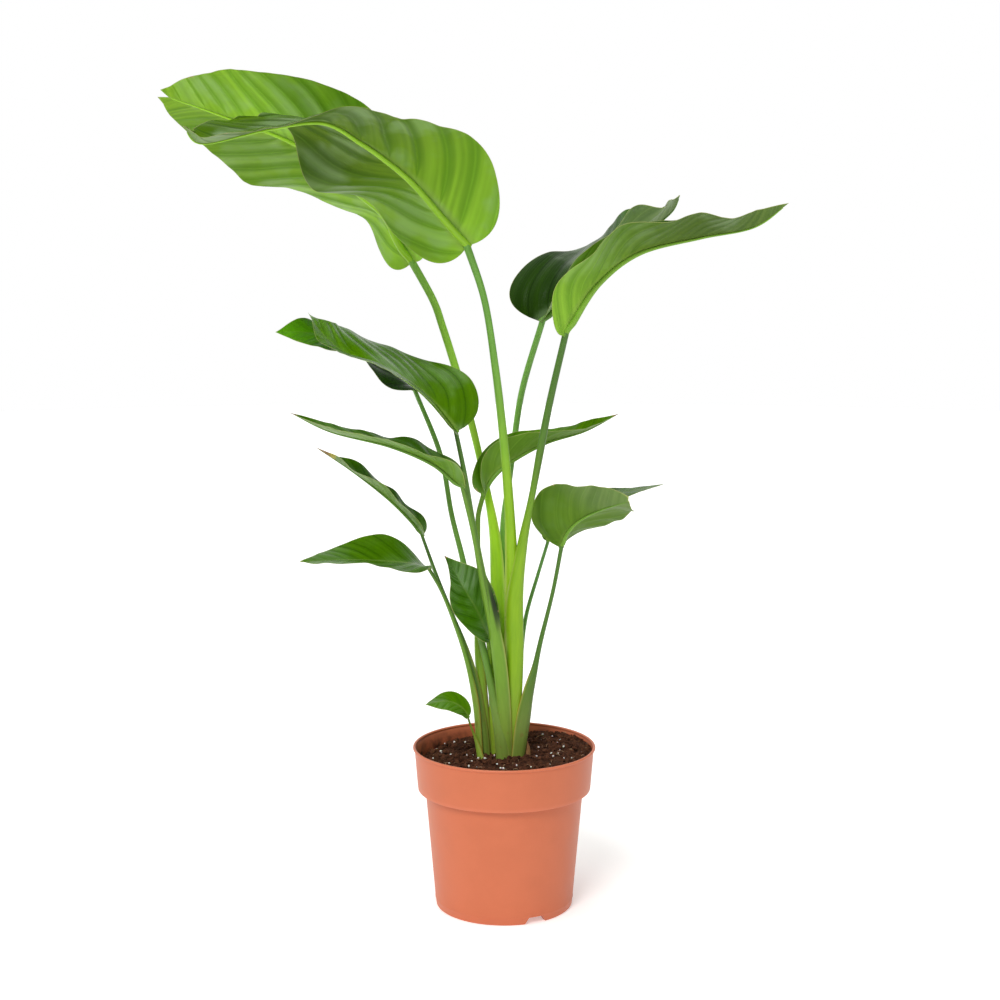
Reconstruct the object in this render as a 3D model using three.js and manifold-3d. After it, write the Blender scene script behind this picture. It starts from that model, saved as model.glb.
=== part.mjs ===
// A giant bird of paradise growing in a round plastic pot. Millimetres, +Z up, the pot's axis on Z and its
// foot on the plane Z = 0. +X is to the right and -Y is towards the front.
import * as THREE from 'three';
import { mergeVertices } from 'three/addons/utils/BufferGeometryUtils.js';
import Module from 'manifold-3d';

const wasm = await Module();
wasm.setup();

// ---- Driving dimensions -------------------------------------------------------------------------------

const GAP = 0.35; // left between pieces that touch

const POT = {
  height: 188,
  rimRadius: 105,
  beadRadius: 1.6,
  collarHeight: 50,
  collarFootRadius: 99.4,
  bodyTopRadius: 91,
  baseRadius: 79,
  wall: 1.8,
  footHeight: 9,
  footWidth: 7.5,
  floor: 2,
  padRadius: 22,
  holes: 6,
  holeRadius: 4.5,
  holeCircle: 48,
  notches: 3,
  notchAngle: -63, // degrees from +X to the first notch
  notchHeight: 8,
  notchFootWidth: 28,
  notchTopWidth: 18,
  sides: 36,
};

const SOIL = { level: 175, tilt: 0.085, relief: 1.8, rings: 5, sides: 30, stalkFoot: 152 };

const STALK_SIDES = 8;
const STALK_STEP = 36; // length of stalk between two sections
const BLADE_THICKNESS = 1.2;
const BLADE_END = 1.4; // half width of a blade's two narrow ends
const NECK = 3; // length of stalk that runs on under the blade's foot
const LOBES = [-0.3, 0.2, 0.35, 0.35, 0.2]; // how far the margin runs ahead of the midrib, in half widths

// Each leaf has a stalk and a blade.
// midrib: points from the blade's foot to its tip. halfWidth: at its widest place. widest: where that is,
// from foot 0 to tip 1. taper: the higher, the blunter the tip. cells: along and across one half.
// right and left are the halves on each side of the midrib, looking along it. Their lift out of the flat is
// in degrees at even stations from foot to tip, curl is the turn from midrib to margin, also in degrees, and
// broad scales that half's width.
// stalk: points from just below the blade down to just above the soil, then foot [x, y] in the soil.
// radius and depth: at even stations from top to foot, half the width seen from the front, and the depth
// from front to back as a part of the width.
const LEAVES = {
  top_rear: {
    midrib: [[-104, 40, 739], [-118, 38, 764], [-133, 32, 793], [-162, 24, 817], [-226, 12, 867],
      [-299, -2, 896], [-373, -25, 921]],
    halfWidth: 88, widest: 0.45, taper: 2.8, cells: [16, 5],
    right: { lift: [-40, -10, -10, -22, -38, -30, -20, -22, -40], curl: -10 },
    left: { lift: [30, 35, 58, 62, 48, 45, 42, 50, 80], curl: -10 },
    stalk: [[-81, 40, 697], [-70, 40, 666], [-55, 39, 618], [-38, 37, 559], [-23, 34, 494], [-11, 26, 429],
      [-7, 20, 366], [-3, 16, 296], [-1, 13, 220]],
    foot: [0, 14], radius: [4.4, 4.3, 4.4, 4.3, 4, 4.8, 7.6, 8.6, 8.4, 9, 9],
    depth: [1, 1, 1, 1, 1, 1, 1, 0.9, 0.8, 0.75, 0.75],
  },
  top_front: {
    midrib: [[-40, -20, 758], [-69, -40, 793], [-95, -60, 824], [-121, -82, 847], [-149, -106, 867],
      [-187, -140, 886], [-242, -170, 877], [-302, -194, 862], [-320, -202, 879]],
    halfWidth: 96, widest: 0.36, taper: 2.2, cells: [18, 5],
    right: { lift: [-60, -20, -12, -28, 2, 6, 14, 20, 40, 60], curl: -10 },
    left: { lift: [50, 57, 45, 25, 14, 10, 8, 10, 18, 10], curl: -10 },
    stalk: [[-22, -18, 699], [-10, -16, 624], [-1, -14, 546], [5, -10, 475], [8, -4, 405], [9, 2, 311],
      [9, 5, 222]],
    foot: [8, 6], radius: [4.2, 3.8, 4.3, 4.9, 5.8, 7.6, 8.9, 9, 8],
    depth: [1, 1, 1, 1, 1, 0.95, 0.8, 0.7, 0.7],
  },
  upper_right: {
    midrib: [[67, -14, 660], [74, -15, 676], [103, -20, 719], [148, -28, 752], [213, -42, 768],
      [269, -56, 779], [304, -66, 804]],
    halfWidth: 56, widest: 0.38, taper: 2, cells: [16, 4],
    right: { lift: [20, 49, 29, 38, 28, 37, 28, 50, 61], curl: -10 },
    left: { lift: [45, 55, 42, 32, 26, 25, 32], curl: -10 },
    stalk: [[49, -12, 577], [32, -10, 484], [20, -8, 421], [12, -6, 359], [12, -4, 289], [10, -3, 224]],
    foot: [11, -2], radius: [3.7, 3.9, 4.3, 3.8, 6.5, 9.9, 9.8, 9.6, 8.7],
    depth: [1, 1, 1, 1, 0.85, 0.75, 0.7, 0.7],
  },
  upper_right_rear: {
    midrib: [[43, 85, 670], [62, 89, 691], [88, 95, 714], [119, 107, 738], [150, 121, 760],
      [178, 135, 780], [199, 145, 797], [208, 150, 815]],
    halfWidth: 66, widest: 0.38, taper: 2, cells: [14, 4],
    right: { lift: [19, 34, 34, 43, 53, 32, 48, 59], curl: -10 },
    left: { lift: [39, 29, 14, 6, 6, 10, 31, 6, 3], curl: -10, broad: [1.88, 1.61, 1] },
    stalk: [[21, 82, 590], [10, 72, 518], [4, 58, 474], [-1, 46, 431], [-1, 32, 352], [0, 26, 234]],
    foot: [2, 25], radius: [3.6, 3.7, 3.6, 3.7, 4.1, 4.7, 5.3, 5.9, 6.3],
    depth: [1, 1, 1, 1, 1, 1, 0.8, 0.8],
  },
  mid_left: {
    midrib: [[-52, -52, 557], [-66, -54, 576], [-91, -58, 603], [-131, -64, 630], [-172, -72, 645],
      [-196, -78, 666], [-210, -84, 688]],
    halfWidth: 60, widest: 0.38, taper: 2, cells: [14, 4],
    right: { lift: [69, 59, 33, 28, 22, 32, 37, 40, 20], curl: -15, broad: [1.46, 1.17, 1] },
    left: { lift: [-8, -4, -2, -1, 0, 3, -3, -20, 2], curl: -5 },
    stalk: [[-43, -44, 504], [-33, -34, 441], [-22, -27, 377], [-9, -20, 316], [-1, -12, 244]],
    foot: [3, -6], radius: [2.4, 2.7, 2.9, 4.1, 5.6, 7.5, 7.7, 7.3, 6.7],
    depth: [1, 1, 1, 1, 0.85, 0.75, 0.75],
  },
  left_upper: {
    midrib: [[-100, 34, 594], [-120, 30, 611], [-152, 24, 639], [-196, 16, 657], [-229, 10, 662],
      [-256, 6, 662]],
    halfWidth: 42, widest: 0.38, taper: 2, cells: [12, 3],
    right: { lift: [10, 2, -5, 2, 18, 45, 37], curl: 0 },
    left: { lift: [29, -21, -23, -13, -18, -21, -28, -29], curl: -5 },
    stalk: [[-73, 24, 523], [-60, 14, 455], [-47, 6, 403], [-38, 0, 356], [-26, -3, 312], [-14, -7, 255],
      [-4, -10, 202]],
    foot: [0, -11], radius: [2.4, 2.8, 2.8, 3, 3.5, 3.7, 4.2, 6.8, 8.2],
    depth: [1, 1, 1, 1, 1, 1, 0.85, 0.75, 0.75],
  },
  left_narrow: {
    midrib: [[-44, -62, 497], [-52, -63, 502], [-78, -68, 524], [-124, -76, 544], [-187, -90, 561],
      [-229, -104, 583]],
    halfWidth: 33, widest: 0.3, taper: 1.7, cells: [12, 3],
    right: { lift: [44, 11, 36, 14, 10, 15, 21, 25], curl: 5 },
    left: { lift: [1, 11, 16, 14, 11, 12, 18, 12], curl: 5 },
    stalk: [[-35, -52, 447], [-25, -38, 389], [-13, -20, 316], [-6, -4, 262], [-5, 2, 230]],
    foot: [-1, 5], radius: [2.3, 2.4, 2.6, 2.8, 3.1, 3.4],
    depth: [1, 1],
  },
  left_small: {
    midrib: [[-92, -8, 434], [-104, -10, 451], [-131, -14, 478], [-170, -20, 509], [-210, -28, 537]],
    halfWidth: 27, widest: 0.35, taper: 1.7, cells: [10, 3],
    right: { lift: [59, 22, 20, 26, 29, 25, 24], curl: 0 },
    left: { lift: [6, 10, 18, 19, 11, 24, 26], curl: 0 },
    stalk: [[-75, 0, 381], [-57, 6, 334], [-44, 10, 298], [-32, 14, 249], [-25, 15, 196]],
    foot: [-22, 16], radius: [1.7, 2, 2.3, 2.4, 3.4, 4.9, 5.6, 6.4, 6],
    depth: [1, 1, 1, 1, 0.85, 0.8, 0.8],
  },
  left_low: {
    midrib: [[-83, -28, 401], [-102, -32, 406], [-133, -40, 410], [-176, -54, 414], [-224, -72, 415]],
    halfWidth: 36, widest: 0.36, taper: 1.8, cells: [10, 3],
    right: { lift: [-34, 14, 35, 38, 29, 25, 26], curl: -10 },
    left: { lift: [24, -4, -2, 13, 6, 3, -6], curl: -10 },
    stalk: [[-71, -18, 373], [-57, -6, 334], [-43, 2, 288], [-33, 7, 239], [-29, 8, 192]],
    foot: [-27, 8], radius: [1.9, 2.1, 2.1, 2.3, 2.8, 3.5, 3.6, 3.5, 3.3],
    depth: [1, 1, 1, 1, 0.9, 0.85, 0.85],
  },
  inner_low: {
    midrib: [[-17, -8, 314], [-30, -14, 347], [-43, -20, 371], [-55, -26, 394], [-67, -32, 415]],
    halfWidth: 29, widest: 0.42, taper: 2, cells: [10, 3],
    right: { lift: [82, 82, 100, 120, 140], curl: 10 },
    left: { lift: [-40, -78, -68, -50, -36], curl: 10 },
    stalk: [[-16, 1, 282], [-15, 9, 239]],
    foot: [-10, 18], radius: [1.8, 2.3, 3, 3.4],
    depth: [1, 1],
  },
  right_thin: {
    midrib: [[-24, 14, 478], [-16, 17, 495], [4, 24, 513], [47, 38, 534], [93, 52, 546], [132, 66, 564]],
    halfWidth: 31, widest: 0.34, taper: 1.8, cells: [12, 3],
    right: { lift: [6, 85, 59, 34, 26, 24, 9], curl: -10 },
    left: { lift: [95, 75, 48, 28, 22, 32, 26], curl: -10 },
    stalk: [[-29, 14, 457], [-30, 15, 441], [-29, 18, 401], [-21, 22, 342], [-16, 26, 282], [-13, 28, 222]],
    foot: [-9, 30], radius: [2.7, 2.8, 2.7, 2.8, 3, 3.5, 4.1, 4.4, 4.5],
    depth: [1, 1],
  },
  right_round: {
    midrib: [[65, 20, 416], [72, 12, 435], [86, 0, 451], [107, -20, 465], [137, -46, 478]],
    halfWidth: 50, widest: 0.44, taper: 2.4, cells: [12, 3],
    right: { lift: [87, 47, 41, 44, 41, 37, 32, 39], curl: -10, broad: [1.12, 1.12] },
    left: { lift: [51, 9, -15, -13, -5, -6, -17, -39], curl: -10, broad: [0.85, 0.85] },
    stalk: [[56, 14, 366], [42, 6, 310], [35, 0, 279], [26, -6, 243], [19, -10, 200]],
    foot: [13, -11], radius: [2.4, 2.3, 2.3, 2.6, 3.3, 5.8, 7.8, 7.3, 6.1],
    depth: [1, 1, 1, 0.9, 0.8, 0.75, 0.75],
  },
  right_rear: {
    midrib: [[51, 62, 416], [61, 68, 437], [89, 80, 458], [135, 100, 466], [191, 124, 474]],
    halfWidth: 27, widest: 0.36, taper: 2, cells: [10, 3],
    right: { lift: [-10, -5, 0, 0, 0], curl: 0 },
    left: { lift: [20, 20, 12, 5, 5], curl: 0 },
    stalk: [[39, 54, 376], [26, 45, 332], [20, 38, 291], [16, 33, 233]],
    foot: [13, 32], radius: [1.9, 2.1, 2.5, 3.4, 3.9, 4.3],
    depth: [1, 1],
  },
  baby: {
    midrib: [[-41, -12, 225], [-49, -16, 237], [-65, -24, 246], [-89, -36, 245]],
    halfWidth: 15, widest: 0.4, taper: 2, cells: [8, 3],
    right: { lift: [72, 50, 12, 5], curl: 0 },
    left: { lift: [-40, -40, -35, -25], curl: 0 },
    stalk: [[-37, -5, 208], [-31, 1, 189]],
    foot: [-22, 0], radius: [1.2, 1.3, 3.4, 5],
    depth: [1, 1],
  },
};

// A young shoot, still furled, and a dry scale at the clump's right foot.
const SPEAR = {
  stalk: [[-30, 20, 359], [-30, 20, 307], [-25, 20, 248]],
  foot: [-17, 24], radius: [1.6, 5, 5.8, 5.7], depth: [1, 1],
};
const DRY_SHEATH = {
  midrib: [[26, -10, 166], [26.5, -10, 176], [27, -9.5, 186], [26, -9, 196]],
  halfWidth: 4.5, widest: 0.3, taper: 1.6, cells: [5, 2],
  right: { lift: [-20, -20], curl: -40 },
  left: { lift: [-20, -20], curl: -40 },
};

// Stalks from the outside of the clump inwards: where two would share a place, the first one keeps it.
const OUTSIDE_FIRST = ['left_narrow', 'left_upper', 'right_round', 'mid_left', 'upper_right', 'baby',
  'left_low', 'left_small', 'top_front', 'top_rear', 'inner_low', 'spear', 'right_thin',
  'upper_right_rear', 'right_rear'];

const COLORS = {
  pot: 0xd9805c,
  soil: 0x33241e,
  stalk: 0x6f9a4a,
  brightStalk: 0x9cc03c,
  topLeaf: 0x7fae2e,
  leaf: 0x3f7f33,
  drySheath: 0xb98a55,
};
const BRIGHT_STALKS = ['top_rear', 'top_front', 'upper_right', 'right_thin', 'spear'];
const TOP_LEAVES = ['top_rear', 'top_front'];

// ---- Geometry helpers ---------------------------------------------------------------------------------

const radians = THREE.MathUtils.degToRad;
const UP = new THREE.Vector3(0, 0, 1);
const RIGHT = new THREE.Vector3(1, 0, 0);

function curveThrough(points) {
  const vectors = points.map((p) => new THREE.Vector3(...p));
  const curve = new THREE.CatmullRomCurve3(vectors, false, 'catmullrom', 0.5);
  curve.arcLengthDivisions = 400;
  return curve;
}

// The value of a list at t, from 0 to 1, on a smooth line through its evenly spaced values.
function valueAt(list, t) {
  return curveThrough(list.map((value) => [value, 0, 0])).getPoint(t).x;
}

// Moves every vertex of a closed geometry by place(vertex) and welds the shared ones.
function shape(geometry, place) {
  geometry.deleteAttribute('normal');
  geometry.deleteAttribute('uv');
  const position = geometry.getAttribute('position');
  const vertex = new THREE.Vector3();
  for (let i = 0; i < position.count; i += 1) {
    const placed = place(vertex.fromBufferAttribute(position, i));
    position.setXYZ(i, placed.x, placed.y, placed.z);
  }
  return mergeVertices(geometry);
}

function toSolid(geometry) {
  const welded = shape(geometry, (vertex) => vertex);
  const index = welded.getIndex().array;
  const triangles = [];
  for (let i = 0; i < index.length; i += 3) {
    const [a, b, c] = index.slice(i, i + 3);
    if (a !== b && b !== c && c !== a) {
      triangles.push(a, b, c);
    }
  }
  return new wasm.Manifold(new wasm.Mesh({
    numProp: 3,
    vertProperties: new Float32Array(welded.getAttribute('position').array),
    triVerts: new Uint32Array(triangles),
  }));
}

function toGeometry(solid) {
  const mesh = solid.getMesh();
  const geometry = new THREE.BufferGeometry();
  geometry.setAttribute('position', new THREE.BufferAttribute(new Float32Array(mesh.vertProperties), 3));
  geometry.setIndex(new THREE.BufferAttribute(new Uint32Array(mesh.triVerts), 1));
  return geometry;
}

function boxesMeet(a, b) {
  const first = a.boundingBox();
  const second = b.boundingBox();
  return [0, 1, 2].every((k) => first.min[k] <= second.max[k] && second.min[k] <= first.max[k]);
}

// What the cutters leave of a solid: its largest piece.
function cutClear(solid, cutters) {
  let rest = solid;
  for (const cutter of cutters) {
    if (boxesMeet(rest, cutter)) {
      rest = rest.subtract(cutter);
    }
  }
  return rest.decompose().reduce((a, b) => (a.volume() > b.volume() ? a : b));
}

function material(color, roughness) {
  return new THREE.MeshStandardMaterial({ color, roughness, metalness: 0 });
}

// ---- Pot ----------------------------------------------------------------------------------------------

function arcPoints(centreX, centreY, radius, fromDegrees, toDegrees, count) {
  const points = [];
  for (let i = 0; i <= count; i += 1) {
    const angle = radians(fromDegrees + ((toDegrees - fromDegrees) * i) / count);
    points.push(new THREE.Vector2(centreX + radius * Math.cos(angle), centreY + radius * Math.sin(angle)));
  }
  return points;
}

const potCollarFoot = POT.height - POT.collarHeight;
const potLedge = potCollarFoot + POT.wall;
const potInnerFloor = POT.footHeight + POT.floor;
const potRimMiddle = POT.rimRadius - POT.beadRadius;

// Inner radii of the pot's body and of its collar at a height.
function bodyInnerRadius(z) {
  return THREE.MathUtils.lerp(POT.baseRadius, POT.bodyTopRadius, z / potCollarFoot) - POT.wall;
}

function collarInnerRadius(z) {
  const up = (z - potCollarFoot) / POT.collarHeight;
  return THREE.MathUtils.lerp(POT.collarFootRadius, potRimMiddle, up) - POT.wall;
}

function potSolid() {
  const point = (x, y) => new THREE.Vector2(x, y);
  const profile = [
    point(0, 0),
    point(POT.padRadius, 0),
    point(POT.padRadius + 1.5, POT.footHeight),
    point(POT.baseRadius - POT.footWidth - 1, POT.footHeight),
    point(POT.baseRadius - POT.footWidth, 0),
    point(POT.baseRadius - 1.5, 0),
    point(POT.baseRadius, 1.5),
    point(POT.bodyTopRadius, potCollarFoot),
    point(POT.collarFootRadius - 1.2, potCollarFoot),
    point(POT.collarFootRadius, potCollarFoot + 1.5),
    ...arcPoints(potRimMiddle, POT.height - POT.beadRadius, POT.beadRadius, -60, 240, 6),
    point(collarInnerRadius(potLedge), potLedge),
    point(bodyInnerRadius(potLedge), potLedge),
    point(bodyInnerRadius(potInnerFloor), potInnerFloor),
    point(POT.padRadius, potInnerFloor),
    point(POT.padRadius - 1.5, POT.floor),
    point(0, POT.floor),
  ];
  const turned = new THREE.LatheGeometry(profile, POT.sides);
  turned.rotateX(Math.PI / 2);
  let pot = toSolid(turned);
  for (let i = 0; i < POT.holes; i += 1) {
    const angle = (2 * Math.PI * (i + 0.5)) / POT.holes;
    const hole = new THREE.CylinderGeometry(POT.holeRadius, POT.holeRadius, 4 * POT.floor, 12);
    hole.rotateX(Math.PI / 2);
    hole.translate(POT.holeCircle * Math.cos(angle), POT.holeCircle * Math.sin(angle), POT.footHeight);
    pot = pot.subtract(toSolid(hole));
  }
  const outline = new THREE.Shape([
    point(-POT.notchFootWidth / 2, -1),
    point(POT.notchFootWidth / 2, -1),
    point(POT.notchTopWidth / 2, POT.notchHeight),
    point(-POT.notchTopWidth / 2, POT.notchHeight),
  ]);
  for (let i = 0; i < POT.notches; i += 1) {
    const notch = new THREE.ExtrudeGeometry(outline, { depth: 3 * POT.footWidth, bevelEnabled: false });
    notch.rotateX(Math.PI / 2);
    notch.translate(0, POT.baseRadius + POT.footWidth, 0);
    notch.rotateZ(radians(POT.notchAngle - 90 + (360 / POT.notches) * i));
    pot = pot.subtract(toSolid(notch));
  }
  return pot;
}

// ---- Soil ---------------------------------------------------------------------------------------------

// Height of the uneven surface: higher on the right, low mounds and clods.
function soilHeight(x, y) {
  const mounds = SOIL.relief * Math.sin(x / 17 + 1) * Math.cos(y / 23 + 0.5);
  const clods = Math.sin(x / 7 + 2) * Math.sin(y / 6);
  return SOIL.level + SOIL.tilt * x + mounds + clods;
}

function soilSolid() {
  const point = (x, y) => new THREE.Vector2(x, y);
  const clear = 2 * GAP;
  const edge = collarInnerRadius(SOIL.level) - clear;
  const profile = [
    point(0, POT.floor + GAP),
    point(POT.padRadius - 1.5 - clear, POT.floor + GAP),
    point(POT.padRadius - clear, potInnerFloor + GAP),
    point(bodyInnerRadius(potInnerFloor) - clear, potInnerFloor + GAP),
    point(bodyInnerRadius(potLedge) - clear, potLedge + GAP),
    point(collarInnerRadius(potLedge) - clear, potLedge + GAP),
  ];
  for (let i = SOIL.rings; i >= 0; i -= 1) {
    profile.push(point((edge * i) / SOIL.rings, SOIL.level));
  }
  const turned = new THREE.LatheGeometry(profile, SOIL.sides);
  turned.rotateX(Math.PI / 2);
  const relieved = shape(turned, (vertex) => {
    if (vertex.z > SOIL.level - 1) {
      vertex.z = soilHeight(vertex.x, vertex.y);
    }
    return vertex;
  });
  return toSolid(relieved);
}

// ---- Stalks -------------------------------------------------------------------------------------------

// A round or oval stalk, grown all round by the margin given.
function stalkSolid(leaf, grown) {
  const route = [...leaf.stalk, [...leaf.foot, SOIL.stalkFoot - grown]];
  if (leaf.midrib) {
    const [foot, next] = leaf.midrib.slice(0, 2).map((p) => new THREE.Vector3(...p));
    const neck = next.sub(foot).setLength(NECK + grown).add(foot);
    route.unshift(neck.toArray());
  }
  const curve = curveThrough(route);
  const steps = Math.ceil(curve.getLength() / STALK_STEP) + 2;
  const geometry = new THREE.CylinderGeometry(1, 1, 1, STALK_SIDES, steps);
  const bent = shape(geometry, (vertex) => {
    const t = THREE.MathUtils.clamp(0.5 - vertex.y, 0, 1);
    const tangent = curve.getTangentAt(t);
    const across = RIGHT.clone().addScaledVector(tangent, -tangent.x).normalize();
    const away = tangent.clone().cross(across);
    const radius = valueAt(leaf.radius, t);
    return curve.getPointAt(t)
      .addScaledVector(across, vertex.x * (radius + grown))
      .addScaledVector(away, vertex.z * (radius * valueAt(leaf.depth, t) + grown));
  });
  return toSolid(bent);
}

// ---- Blades -------------------------------------------------------------------------------------------

function halfWidthAt(leaf, t) {
  const width = t < leaf.widest
    ? Math.sqrt(1 - (1 - t / leaf.widest) ** 2)
    : 1 - ((t - leaf.widest) / (1 - leaf.widest)) ** leaf.taper;
  return Math.max(leaf.halfWidth * width, BLADE_END);
}

// A blade is a thin sheet, grown all round by the margin given. At each place along the midrib its section
// is two arcs that leave the midrib at their lift angle and turn by their curl on the way to the margin.
function bladeSolid(leaf, grown) {
  const curve = curveThrough(leaf.midrib);
  const heading = curve.getPoint(1).sub(curve.getPoint(0)).setZ(0).normalize();
  const [along, across] = leaf.cells;
  const sheet = new THREE.BoxGeometry(2, 1, 1, 2 * across, 1, along);
  const bent = shape(sheet, (vertex) => {
    const t = THREE.MathUtils.clamp(0.5 - vertex.z, 0, 1) ** 1.2;
    const tangent = curve.getTangentAt(t);
    const flat = heading.clone().cross(UP);
    flat.addScaledVector(tangent, -tangent.dot(flat)).normalize();
    const up = flat.clone().cross(tangent);
    const side = vertex.x < 0 ? -1 : 1;
    const half = side < 0 ? leaf.left : leaf.right;
    const part = Math.abs(vertex.x);
    const lift = radians(valueAt(half.lift, t));
    const other = radians(valueAt((side < 0 ? leaf.right : leaf.left).lift, t));
    const curl = radians(half.curl || 0.1);
    const width = halfWidthAt(leaf, t) * valueAt(half.broad ?? [1, 1], t) + grown;
    const outward = (width * (Math.sin(lift + curl * part) - Math.sin(lift))) / curl;
    const upward = (width * (Math.cos(lift) - Math.cos(lift + curl * part))) / curl;
    const place = curve.getPointAt(t)
      .addScaledVector(flat, side * outward)
      .addScaledVector(up, upward)
      .addScaledVector(tangent, valueAt(LOBES, t) * width * part ** 1.5);
    const turn = lift + curl * part;
    const normal = up.clone().multiplyScalar(Math.cos(turn)).addScaledVector(flat, -side * Math.sin(turn));
    const fold = (side * (lift - other)) / 2;
    const middle = up.clone().multiplyScalar(Math.cos(fold)).addScaledVector(flat, -Math.sin(fold));
    const opening = Math.abs(Math.tan((Math.PI - lift - other) / 2));
    const own = Math.min(1, (1.6 * part * width * opening) / BLADE_THICKNESS);
    const through = middle.lerp(normal, own).normalize();
    if (Math.abs(vertex.z) === 0.5) {
      place.addScaledVector(tangent, -Math.sign(vertex.z) * grown);
    }
    return place.addScaledVector(through, vertex.y * (BLADE_THICKNESS + 2 * grown));
  });
  return toSolid(bent);
}

// ---- Assembly -----------------------------------------------------------------------------------------

const plant = new THREE.Group();

function add(name, solid, looks) {
  const mesh = new THREE.Mesh(toGeometry(solid), looks);
  mesh.name = name;
  plant.add(mesh);
}

const stalks = { ...LEAVES, spear: SPEAR };
const grownStalks = [];
for (const name of OUTSIDE_FIRST) {
  const bright = BRIGHT_STALKS.includes(name);
  const looks = material(bright ? COLORS.brightStalk : COLORS.stalk, 0.45);
  const solid = cutClear(stalkSolid(stalks[name], 0), grownStalks);
  grownStalks.push(stalkSolid(stalks[name], GAP));
  add(name === 'spear' ? name : `stalk_${name}`, solid, looks);
}
for (const [name, leaf] of Object.entries(LEAVES)) {
  const looks = material(TOP_LEAVES.includes(name) ? COLORS.topLeaf : COLORS.leaf, 0.4);
  add(`leaf_${name}`, cutClear(bladeSolid(leaf, 0), grownStalks), looks);
}
const drySheath = cutClear(bladeSolid(DRY_SHEATH, 0), grownStalks);
add('dry_sheath', drySheath, material(COLORS.drySheath, 0.8));
const pockets = [...grownStalks, bladeSolid(DRY_SHEATH, GAP)];
add('soil', cutClear(soilSolid(), pockets), material(COLORS.soil, 0.95));
add('pot', potSolid(), material(COLORS.pot, 0.4));

export default plant;
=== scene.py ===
"""A giant bird of paradise in a moulded plastic pot, built on its CAD frame.

Metres, +Z up, the pot's axis on Z and its foot on the floor at Z = 0, +X to the right and -Y to the front.
"""

import math

import bmesh
import bpy
import numpy as np
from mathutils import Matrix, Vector, noise


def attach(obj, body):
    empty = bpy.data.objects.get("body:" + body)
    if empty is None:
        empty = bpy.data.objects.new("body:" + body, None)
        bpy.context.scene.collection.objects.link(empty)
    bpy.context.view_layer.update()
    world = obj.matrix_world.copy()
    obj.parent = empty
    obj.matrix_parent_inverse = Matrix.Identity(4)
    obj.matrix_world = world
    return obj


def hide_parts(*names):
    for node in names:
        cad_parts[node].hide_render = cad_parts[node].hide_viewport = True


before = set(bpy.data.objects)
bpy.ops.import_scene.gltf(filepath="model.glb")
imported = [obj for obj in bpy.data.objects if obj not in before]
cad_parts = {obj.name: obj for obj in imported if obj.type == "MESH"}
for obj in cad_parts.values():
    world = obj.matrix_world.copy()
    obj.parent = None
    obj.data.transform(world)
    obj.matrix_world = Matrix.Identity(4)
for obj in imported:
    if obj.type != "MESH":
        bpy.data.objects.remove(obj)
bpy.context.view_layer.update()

bl_info = {
    "name": "Potted bird of paradise",
    "version": (1, 0, 0),
    "blender": (4, 5, 0),
    "location": "View3D > Sidebar > Plant",
    "description": "A giant bird of paradise growing in a round moulded plastic pot",
    "category": "Object",
}

MM = 0.001
BODY = "root"

# ---- The plant's shape, in millimetres as in the CAD ---------------------------------------------------

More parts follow.
